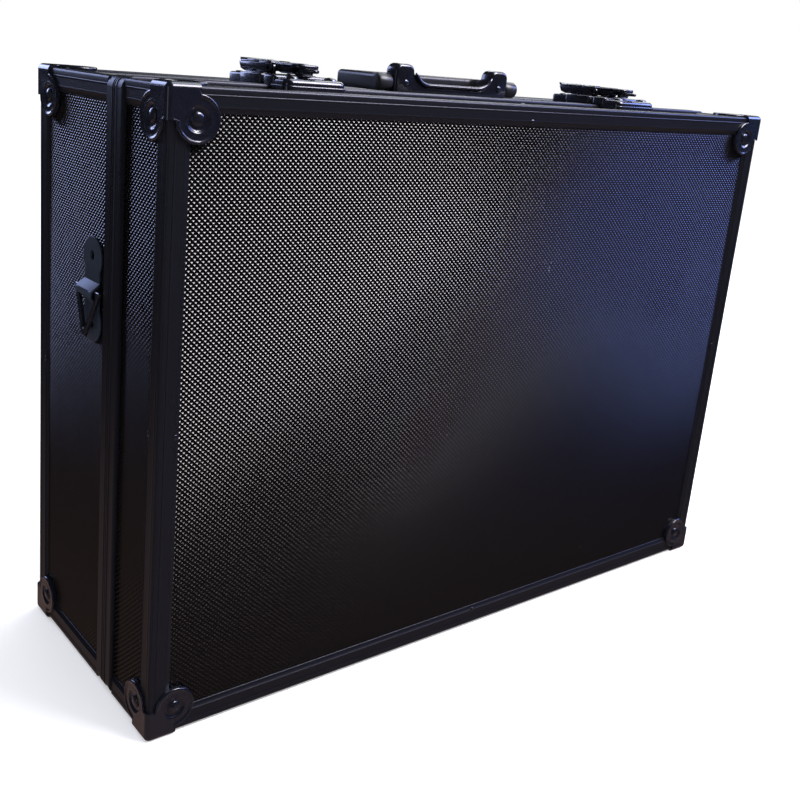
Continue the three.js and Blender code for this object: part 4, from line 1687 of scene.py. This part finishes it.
# ---- latches -------------------------------------------------------------------------------
@dataclass
class Latch:
    """One draw latch: a base and a lever with its hook and key plug, and a strike on the lid."""

    word: str
    finishes: Finishes
    half_width: float = 19.5
    height: float = 6.1
    lever_half: float = 12.5
    lever_top: float = 12.4
    hook_half: float = 7.8

    @property
    def x(self) -> float:
        """Middle of the latch."""
        low, high = node_box(f"{self.word}_latch_base")
        return (low.x + high.x) / 2

    @staticmethod
    def at(behind: float, above: float) -> Point2:
        """A place by its distance behind the front face and its height over the top face."""
        return (CASE.front + behind, CASE.top + above)

    def section(self, points: Iterable[Point2]) -> list[Point2]:
        """An outline seen from the side.

        Args:
            points: (behind the front face, above the top face) of each point.

        Returns:
            The (Y, Z) of each point.
        """
        return [self.at(*point) for point in points]

    def slab(
        self,
        shape: Shape,
        across: Sequence[float],
        behind: Point2,
        above: Point2,
        corner: tuple[float, int],
        rim: tuple[float, int],
        soft_low: bool = True,
    ) -> None:
        """Adds a flat block with round corners and soft rims.

        Args:
            shape: what it is added to.
            across: where it starts and ends on X, from the latch's middle.
            behind: where it starts and ends behind the front face.
            above: its underside and top over the top face.
            corner: radius and steps of its upright corners.
            rim: radius and steps of its rims.
            soft_low: round the low rim as well as the high one.
        """
        (left, right), (front, back) = across, behind
        outline = rounded_rectangle(
            self.x + left, self.x + right, CASE.front + front, CASE.front + back, *corner
        )
        low, high = (CASE.top + each for each in above)
        shape.prism("z", low, high, outline, *rim, soft_low=soft_low)

    def base(self) -> None:
        """Makes the base plate with its steps, ears, pivot and rear tongue."""
        x, top = self.x, CASE.top
        half, height = self.half_width, self.height
        front, rim_end, tail, back = 54.4, 63.4, 75.0, 88.0
        shape = Shape()
        self.slab(shape, (-half, half), (front, tail), (1.3, height), (1.2, 4), (0.7, 3), False)
        half -= 0.2
        step = (rim_end, tail - 0.2)
        self.slab(shape, (-half, half), step, (-1.2, height - 0.3), (1.2, 4), (0.4, 3), False)
        half -= 0.4
        step = (rim_end, back)
        self.slab(shape, (-half, half), step, (-1.2, height - 0.5), (2.6, 6), (1.4, 4), False)
        pivot = self.at(58.5, 9.3)
        ear = self.section([(56.2, height - 1), (60.8, height - 1)]) + arc(pivot, 2.3, 0, 180, 12)
        screw = [(2.3, top + 5.0), (2.2, top + 5.8), (1.6, top + 6.2), (0.01, top + 6.35)]
        for side in (-1, 1):
            rib = (side * 15.6 - 1.9, side * 15.6 + 1.9)
            self.slab(shape, rib, (front + 1.6, tail - 2), (height - 0.4, height + 0.5), (1.6, 4), (0.4, 2))
            shape.prism("x", x + side * 8.5, x + side * 10.5, ear, 0.3, 2)
            start, end = sorted((x + side * 9.0, x + side * self.lever_half))
            shape.rod("x", start, end, pivot, 1.2, 0.2)
            shape.turned("z", (x + side * 16.3, CASE.front + 80.5), screw, 20)
        self.finish(shape, "base", "base_plate", "latch_base")

    def tongue(self, shrink: float, rear: float) -> list[Point2]:
        """The strike's outline from above, with a round nose.

        Args:
            shrink: how far it is drawn in.
            rear: how far behind the front face it ends.

        Returns:
            The closed outline.
        """
        x, half, nose = self.x, self.half_width - shrink, 4.5
        tip, end = CASE.front + 29.0 + shrink + nose, CASE.front + rear
        return (
            [(x + half, end), (x - half, end)]
            + arc((x - half + nose, tip), nose, 180, 270, 9)
            + arc((x + half - nose, tip), nose, 270, 360, 9)
        )

    def strike(self) -> None:
        """Makes the strike on the lid, with its domed screws and the ridge for the hook."""
        top, half = CASE.top, self.half_width
        shape = Shape()
        shape.prism("z", top - 1.2, top + 1.6, self.tongue(0.0, 44.2), 0.5, 3, soft_low=False)
        shape.prism("z", top - 1.2, top + 4.9, self.tongue(0.5, 44.0), 2.6, 6, soft_low=False)
        self.slab(shape, (-half, half), (41.5, 52.0), (1.4, self.height), (2.2, 5), (1.2, 4), False)
        screw = [(3.6, top + 4.0), (3.4, top + 5.4), (2.7, top + 6.1), (1.4, top + 6.5), (0.01, top + 6.6)]
        for side in (-1, 1):
            shape.turned("z", (self.x + side * 12.0, CASE.front + 36.0), screw, 28)
        self.finish(shape, "lid", "strike_plate", "latch_strike")

    def lever(self) -> None:
        """Makes the lever, a pressed cover with a curled finger lip."""
        x, half = self.x, self.lever_half
        under, crest = self.lever_top - 1.3, self.lever_top
        shape = Shape()
        cheek = self.section([
            (56.5, under + 0.4), (55.9, 9.3), (56.5, 7.9), (58.5, 6.4), (82.0, 6.4), (86.0, 7.6),
            (88.0, under + 0.2),
        ])
        for side in (-1, 1):
            shape.prism("x", x + side * (half - 1.4), x + side * half, cheek, 0.45, 2)
            arm = sorted((side * 8.5, side * half))
            self.slab(shape, arm, (56.5, 68.0), (under, crest), (0.9, 3), (0.55, 3))
        self.slab(shape, (-half, half), (67.2, 87.2), (under, crest), (1.6, 4), (0.6, 3))
        lip = self.section([
            (84.5, under + 0.1), (87.4, under - 0.9), (89.5, crest - 0.3), (90.0, crest + 0.9),
            (89.0, crest + 0.95), (88.0, crest + 0.3), (86.0, crest - 0.05),
        ])
        shape.prism("x", x - half + 1.8, x + half - 1.8, lip, 0.3, 2)
        for side in (-1, 1):
            rib = sorted((side * 7.0, side * 9.0))
            self.slab(shape, rib, (69.0, 85.0), (crest - 0.4, crest + 0.45), (0.9, 3), (0.4, 2))
        shape.rod("x", x - half + 1, x + half - 1, self.at(62.5, 9.8), 1.2, 0.2)
        key_low, key_high = node_box(f"{self.word}_key_plug")
        centre = ((key_low.x + key_high.x) / 2, (key_low.y + key_high.y) / 2)
        hole = Shape().rod("z", CASE.top + under - 3, CASE.top + crest + 3, centre, 5.3, 0.01)
        self.finish(shape, f"{self.word}_lever", "lever_cover", "latch_lever", hole)

    def hook(self) -> None:
        """Makes the hook, with its rounded nose, bent tip and pointed tab."""
        x, top, half = self.x, CASE.top, self.hook_half
        crest, low = self.lever_top - 0.3, self.lever_top - 1.6
        shape = Shape()
        shape.prism("z", top + crest - 2.4, top + crest, self.hook_plan(), 0.9, 4)
        arm = self.section([
            (44.0, crest - 0.6), (44.0, 8.2), (55.0, 7.6), (60.5, 7.6), (63.5, 8.8), (64.4, 9.8),
            (63.5, low), (55.0, low), (53.8, crest - 0.3),
        ])
        shape.prism("x", x - half, x + half, arm, 0.3, 2)
        foot = self.height + 0.35
        tip = self.section([
            (41.0, crest - 1.0), (40.6, foot + 1.2), (41.2, foot), (43.2, foot), (44.2, crest - 1.0),
        ])
        shape.prism("x", x - 4.4, x + 4.4, tip, 0.4, 3)
        root, shoulder, point = (CASE.front + each for each in (41.0, 35.5, 33.6))
        tab = [(x + 5.2, root), (x - 5.2, root), (x - 4.4, shoulder)]
        tab += arc((x, point), 1.8, 200, 340, 6) + [(x + 4.4, shoulder)]
        shape.prism("z", top + crest - 4.1, top + crest - 2.2, tab, 0.8, 3)
        bend = self.section([
            (38.4, crest - 2.6), (38.7, crest - 1.2), (41.5, crest - 0.35), (44.0, crest - 0.3),
            (44.0, crest - 3.6), (39.2, crest - 4.0),
        ])
        shape.prism("x", x - 5.2, x + 5.2, bend, 0.4, 3)
        shape.rod("x", x - half, x + half, self.at(62.5, 9.8), 2.3, 0.3)
        self.finish(shape, f"{self.word}_hook", "hook_claw", "latch_hook")

    def hook_plan(self) -> list[Point2]:
        """The hook's outline from above.

        Returns:
            The closed outline.
        """
        x, half, round_nose = self.x, self.hook_half, 5.6
        back, waist, nose = (CASE.front + each for each in (58.6, 44.5, 43.0))
        return (
            [(x + half, back), (x - half, back), (x - half, waist)]
            + arc((x - half + round_nose, nose), round_nose, 180, 262, 8)
            + arc((x + half - round_nose, nose), round_nose, 278, 360, 8)
            + [(x + half, waist)]
        )

    def finish(self, shape: Shape, body: str, word: str, node: str, hole: Shape | None = None) -> None:
        """Makes a shape a black piece of hardware.

        Args:
            shape: the shape.
            body: the body that it rides on.
            word: what the piece is called.
            node: the node that it stands for, without the latch's side.
            hole: what is cut out of it.
        """
        piece = smooth(place(shape.mesh(word), f"{self.word}_latch_{word}"), 40)
        if hole:
            carve(piece, hole)
            smooth(piece, 40)
        finish_piece(piece, body, "hardware", self.finishes.hardware, f"{self.word}_{node}")

    def key_plug(self) -> None:
        """Makes the key plug, with its slot."""
        low, high = node_box(f"{self.word}_key_plug")
        centre = ((low.x + high.x) / 2, (low.y + high.y) / 2)
        top = high.z - 1.2
        shape = Shape().turned("z", centre, [
            (4.6, low.z), (5.0, low.z + 0.3), (5.0, top - 0.5), (4.6, top - 0.1), (4.3, top), (3.6, top),
            (3.4, top - 0.35), (0.01, top - 0.35),
        ], 40)
        piece = place(shape.mesh("key"), f"{self.word}_key_plug_barrel")
        x, y = centre
        carve(piece, Shape().box((x - 0.55, y - 2.7, top - 2.4), (x + 0.55, y + 2.7, top + 1)))
        smooth(piece, 35)
        finish_piece(piece, f"{self.word}_key", "key", self.finishes.key, f"{self.word}_key_plug")

    def build(self) -> None:
        """Makes the whole latch."""
        self.base()
        self.strike()
        self.lever()
        self.hook()
        self.key_plug()


# ---- strap brackets ------------------------------------------------------------------------
@dataclass
class StrapBracket:
    """A two-lobed plate on an end of the case, with a pocket for a triangular ring."""

    word: str
    finishes: Finishes
    lobe: float = 11.0
    rise: float = 17.0
    waist: float = 7.5
    sheet: float = 1.2
    pocket: float = 9.6
    strap_half: float = 5.5
    hole: float = 2.7
    tilt: float = 4.5

    @property
    def side(self) -> int:
        """Which end of the case it is on."""
        return -1 if self.word == "left" else 1

    def outline(self, y: float, z: float) -> list[Point2]:
        """The plate's outline: two lobes with a waist between.

        Args:
            y: its middle on Y.
            z: its middle on Z.

        Returns:
            The closed outline.
        """
        upper = arc((y, z + self.rise), self.lobe, -38, 218, 26)
        lower = arc((y, z - self.rise), self.lobe, 142, 398, 26)
        left_waist = arc((y - self.waist - 9.0, z), 9.0, 32, -32, 8)
        right_waist = arc((y + self.waist + 9.0, z), 9.0, 212, 148, 8)
        return upper + left_waist + lower + right_waist

    def pressed(self, inner: float, z: float, points: Iterable[Point2]) -> list[Point2]:
        """A bent sheet's outline, seen along Y.

        Args:
            inner: X of the plate's back.
            z: the plate's middle on Z.
            points: (out from the plate's face, above its middle) of each point.

        Returns:
            The (X, Z) of each point.
        """
        face = inner + self.side * self.sheet
        return [(face + self.side * out, z + up) for out, up in points]

    def plate(self) -> None:
        """Makes the plate with its holes, awning and return strap."""
        low, high = node_box(f"{self.word}_strap_plate")
        y, z = (low.y + high.y) / 2, (low.z + high.z) / 2
        inner = high.x if self.side < 0 else low.x
        face = inner + self.side * self.sheet
        shape = Shape().prism("x", inner, face, self.outline(y, z), 0.35, 3)
        awning = self.pressed(inner, z, [
            (-0.4, 5.0), (0.3, 4.3), (4.3, 1.0), (4.8, 0.3), (5.1, -2.0), (4.5, -2.4), (3.9, -2.0),
            (3.6, 0.1), (-0.4, 3.2),
        ])
        shape.prism("y", y - self.pocket, y + self.pocket, awning, 0.4, 3)
        strap = self.pressed(inner, z, [
            (4.8, 0.9), (4.8, -1.9), (-0.3, -7.4), (-0.3, -5.8), (3.6, -1.4), (3.6, 0.9),
        ])
        shape.prism("y", y - self.strap_half, y + self.strap_half, strap, 0.3, 2)
        piece = smooth(place(shape.mesh("plate"), f"{self.word}_strap_plate_pressing"), 40)
        start, end = min(inner, face) - 2, max(inner, face) + 2
        holes = Shape()
        for up in (-1, 1):
            holes.rod("x", start, end, (y, z + up * (self.rise + 1)), self.hole, 0.01)
        carve(piece, holes)
        smooth(piece, 40)
        finish_piece(piece, "base", "hardware", self.finishes.plate, f"{self.word}_strap_plate")

    @staticmethod
    def triangle(wide: float, top: float, foot: float, tip: float, radius: float) -> list[Point2]:
        """A triangle's outline with round corners and a blunt tip.

        Args:
            wide: half its width at the top.
            top: height of its top.
            foot: height of its tip.
            tip: half the tip's width.
            radius: how far each corner's rounding reaches.

        Returns:
            The closed outline.
        """
        corners = [(-wide, top), (wide, top), (tip, foot), (-tip, foot)]
        points: list[Point2] = []
        for i, corner in enumerate(corners):
            here = Vector(corner)
            start = here + (Vector(corners[i - 1]) - here).normalized() * radius
            end = here + (Vector(corners[(i + 1) % 4]) - here).normalized() * radius
            for j in range(6):
                share = j / 5
                spot = (1 - share) ** 2 * start + 2 * share * (1 - share) * here + share**2 * end
                points.append(tuple(spot))
        return points

    def hung(self, points: Iterable[Point2], height: float) -> list[Point3]:
        """Points of the ring, set as it hangs tilted out on its bar.

        Args:
            points: (along the bar, above the bar) of each point.
            height: how far out of the ring's own plane.

        Returns:
            The places in space.
        """
        pivot = joint_place(f"{self.word}_ring_swing")
        lean = math.radians(self.tilt)
        made = []
        for u, v in points:
            out = height * math.cos(lean) - v * math.sin(lean)
            up = height * math.sin(lean) + v * math.cos(lean)
            made.append((pivot.x + self.side * out, pivot.y + u, pivot.z + up))
        return made

    def ring(self) -> None:
        """Makes the ring, a flat bevelled triangle round its bar."""
        low, high = node_box(f"{self.word}_strap_ring")
        half = (high.y - low.y) / 2
        drop = joint_place(f"{self.word}_ring_swing").z - low.z - 0.3
        thick, bevel = 1.1, 0.35
        outer = self.triangle(half, thick, -drop, 1.6, 1.5)
        hole = self.triangle(half - 4.2, -thick, -drop + 4.4, 0.7, 0.6)
        smaller, larger = inset(outer, bevel), inset(hole, -bevel)
        rings = [
            self.hung(outer, bevel - thick), self.hung(outer, thick - bevel), self.hung(smaller, thick),
            self.hung(larger, thick), self.hung(hole, thick - bevel), self.hung(hole, bevel - thick),
            self.hung(larger, -thick), self.hung(smaller, -thick),
        ]
        shape = Shape().loft(rings, closed=True)
        piece = smooth(place(shape.mesh("ring"), f"{self.word}_strap_ring_triangle"), 40)
        node = f"{self.word}_strap_ring"
        finish_piece(piece, f"{self.word}_ring", "hardware", self.finishes.hardware, node)

    def build(self) -> None:
        """Makes the plate and the ring."""
        self.plate()
        self.ring()


# ---- hinges --------------------------------------------------------------------------------
@dataclass
class Hinges:
    """The two hinges under the case. Their leaves and pins are the frame's own."""

    finishes: Finishes

    def build(self) -> None:
        """Dresses the hinge nodes."""
        for word in ("left", "right"):
            for part in ("hinge_base_leaf", "hinge_lid_leaf", "hinge_pin"):
                node = frame["nodes"][f"{word}_{part}"]
                node.data.materials.clear()
                node.data.materials.append(self.finishes.hinge)


# ---- linings -------------------------------------------------------------------------------
@dataclass
class Lining:
    """The foam tray that covers the inside of one half."""

    half: Half
    finishes: Finishes
    thick: float = 2.0
    puff: float = 0.5
    radius: float = 3.0
    outer_radius: float = 0.4
    swell_reach: float = 140.0

    def loop(self, shrink: float, y: float) -> list[Point3]:
        """One ring of the tray's wall.

        Args:
            shrink: how far it is drawn in from the tray's outside.
            y: where it lies on Y.

        Returns:
            The ring.
        """
        low, high = node_box(f"{self.half.body}_lining")
        radius = self.radius if shrink else self.outer_radius
        x0, x1 = low.x + shrink, high.x - shrink
        z0, z1 = low.z + shrink, high.z - shrink
        return lift("y", rounded_rectangle(x0, x1, z0, z1, radius, 6), y)

    def build(self) -> None:
        """Makes the tray, with round inner corners and a floor that swells between its edges."""
        name = f"{self.half.body}_lining"
        low, high = node_box(name)
        side, thick = self.half.side, self.thick
        floor, mouth = (high.y, low.y) if side > 0 else (low.y, high.y)
        rings = [
            self.loop(0.0, floor), self.loop(0.0, mouth), self.loop(thick * 0.5, mouth),
            self.loop(thick * 0.9, mouth + side * 0.6), self.loop(thick, mouth + side * 2.0),
            self.loop(thick + 0.02, floor - side * (thick + 3.0)),
            self.loop(thick + 0.9, floor - side * (thick + 0.9)),
            self.loop(thick + 3.0, floor - side * thick),
        ]
        for i in range(1, 7):
            share = i / 6
            swell = thick + self.puff * math.sin(share * math.pi / 2)
            rings.append(self.loop(thick + 3.0 + self.swell_reach * share, floor - side * swell))
        piece = smooth(place(Shape().loft(rings).mesh(name), name + "_tray"), 60)
        finish_piece(piece, self.half.body, "lining", self.finishes.lining, name)


# ---- studio --------------------------------------------------------------------------------
@dataclass
class Studio:
    """The pale floor, the soft lights and the camera."""

    lens_mm: float = 45.47
    camera_at: Point3 = (-0.43565, -0.47912, 0.34514)
    forward: Point3 = (0.59507, 0.76188, -0.25578)
    right: Point3 = (0.79839, -0.59686, 0.0796)
    shift: Point2 = (0.066, -0.0883)

    def camera(self) -> None:
        """Makes the camera."""
        lens = bpy.data.cameras.new("camera")
        lens.lens = self.lens_mm
        lens.sensor_width = 36.0
        lens.shift_x, lens.shift_y = self.shift
        lens.clip_start, lens.clip_end = 0.01, 50.0
        view = bpy.data.objects.new("camera", lens)
        bpy.context.scene.collection.objects.link(view)
        forward = Vector(self.forward).normalized()
        right = (Vector(self.right) - forward * forward.dot(Vector(self.right))).normalized()
        up = right.cross(forward)
        turn = Matrix((right, up, -forward)).transposed().to_4x4()
        view.matrix_world = Matrix.Translation(Vector(self.camera_at)) @ turn
        bpy.context.scene.camera = view

    def floor(self) -> None:
        """Makes the floor."""
        data = bpy.data.meshes.new("floor")
        reach = 12.0
        corners = [(-reach, -reach, 0), (reach, -reach, 0), (reach, reach, 0), (-reach, reach, 0)]
        data.from_pydata(corners, [], [(0, 1, 2, 3)])
        floor = place(data, "floor")
        pale = bpy.data.materials.new("pale_floor")
        pale.use_nodes = True
        shader = pale.node_tree.nodes["Principled BSDF"]
        shader.inputs["Base Color"].default_value = (0.86, 0.86, 0.87, 1.0)
        shader.inputs["Roughness"].default_value = 0.9
        shader.inputs["Specular IOR Level"].default_value = 0.1
        shader.inputs["Emission Color"].default_value = (1.0, 1.0, 1.0, 1.0)
        shader.inputs["Emission Strength"].default_value = 0.22
        data.materials.append(pale)
        floor.visible_glossy = False

    @staticmethod
    def lamp(name: str, at: Point3, aim: Point3, size: Point2, power: float, colour: Point3) -> None:
        """Makes one soft rectangular light.

        Args:
            name: its name.
            at: its place in metres.
            aim: what it looks at, in metres.
            size: its width and height in metres.
            power: its power in watts.
            colour: its colour.
        """
        data = bpy.data.lights.new(name, "AREA")
        data.shape = "RECTANGLE"
        data.size, data.size_y = size
        data.energy = power
        data.color = colour
        lamp = bpy.data.objects.new(name, data)
        bpy.context.scene.collection.objects.link(lamp)
        lamp.location = at
        lamp.rotation_mode = "QUATERNION"
        lamp.rotation_quaternion = (Vector(aim) - Vector(at)).to_track_quat("-Z", "Y")
        lamp.visible_camera = False

    def world(self) -> None:
        """Makes the world: white to the eye, dim in reflections."""
        world = bpy.data.worlds.new("studio")
        bpy.context.scene.world = world
        world.use_nodes = True
        wire = Tree(world.node_tree)
        back = world.node_tree.nodes["Background"]
        path = wire.node("ShaderNodeLightPath")
        where = wire.node("ShaderNodeTexCoord")
        parts = wire.node("ShaderNodeSeparateXYZ")
        wire.link(where.outputs["Generated"], parts.inputs[0])
        down = wire.node("ShaderNodeMapRange")
        down.inputs["From Min"].default_value = -0.27
        down.inputs["From Max"].default_value = -0.48
        wire.link(parts.outputs["Z"], down.inputs["Value"])
        dim = Finish.blended(wire, down.outputs[0], (0.006, 0.006, 0.009, 1.0), (0.19, 0.128, 0.11, 1.0))
        mix = wire.node("ShaderNodeMix", data_type="RGBA")
        wire.link(path.outputs["Is Glossy Ray"], mix.inputs[0])
        mix.inputs[6].default_value = (1.0, 1.0, 1.0, 1.0)
        wire.link(dim, mix.inputs[7])
        wire.link(mix.outputs[2], back.inputs["Color"])
        back.inputs["Strength"].default_value = 1.0

    def build(self) -> None:
        """Sets up the whole studio."""
        self.camera()
        self.floor()
        self.world()
        self.lamp("window", (0.62, -0.77, 1.33), (-0.1, -0.07, 0.25), (0.85, 0.5), 26.5, (1.0, 0.95, 1.0))
        self.lamp("glow", (1.02, -0.88, 1.2), (0.0, -0.07, 0.2), (0.5, 0.5), 4.3, (0.93, 0.86, 1.0))
        self.lamp("sky", (1.85, -0.62, 1.24), (0.15, -0.05, 0.25), (0.8, 0.7), 19.0, (0.3, 0.4, 1.0))
        self.lamp("low_sky", (1.9, -1.2, 0.32), (0.15, -0.05, 0.25), (1.0, 0.3), 0.15, (0.16, 0.36, 1.0))
        self.lamp("side", (-0.62, 1.95, 0.95), (-0.23, 0.05, 0.25), (0.8, 1.1), 14.0, (0.52, 0.6, 1.0))
        self.lamp("left", (-1.9, -0.7, 0.4), (-0.2, 0.0, 0.2), (0.5, 1.2), 1.8, (0.75, 0.85, 1.0))
        self.lamp("rear", (1.35, 1.0, 1.35), (0.0, 0.05, 0.2), (1.2, 1.0), 9.0, (0.9, 0.94, 1.0))
        self.lamp("overhead", (0.6, -0.1, 1.9), (0.0, 0.0, 0.3), (1.4, 0.9), 14.0, (0.9, 0.94, 1.0))
        view = bpy.context.scene.view_settings
        view.view_transform = "Standard"
        view.look = "None"


def main() -> None:
    """Builds the case and the studio in order."""
    logging.basicConfig(level=logging.INFO, format="%(name)s %(message)s")
    Studio().build()
    finishes = Finishes()
    emboss, rivets, bent = emboss_tree(), rivet_tree(), frame_tree()
    for half in Half:
        EdgeProfiles(half, finishes).build()
        Panels(half, finishes, emboss).build()
        MatingFrame(half, finishes, bent).build()
        corner = StampedCorner(half, finishes)
        for up in (-1, 1):
            for across in (-1, 1):
                corner.build(up, across)
        Rivets(half, finishes, rivets).build()
        Lining(half, finishes).build()
    handle = Handle(finishes)
    handle.bracket()
    handle.bail()
    for word in ("left", "right"):
        Latch(word, finishes).build()
        StrapBracket(word, finishes).build()
    Hinges(finishes).build()


if __name__ == "__main__":
    main()
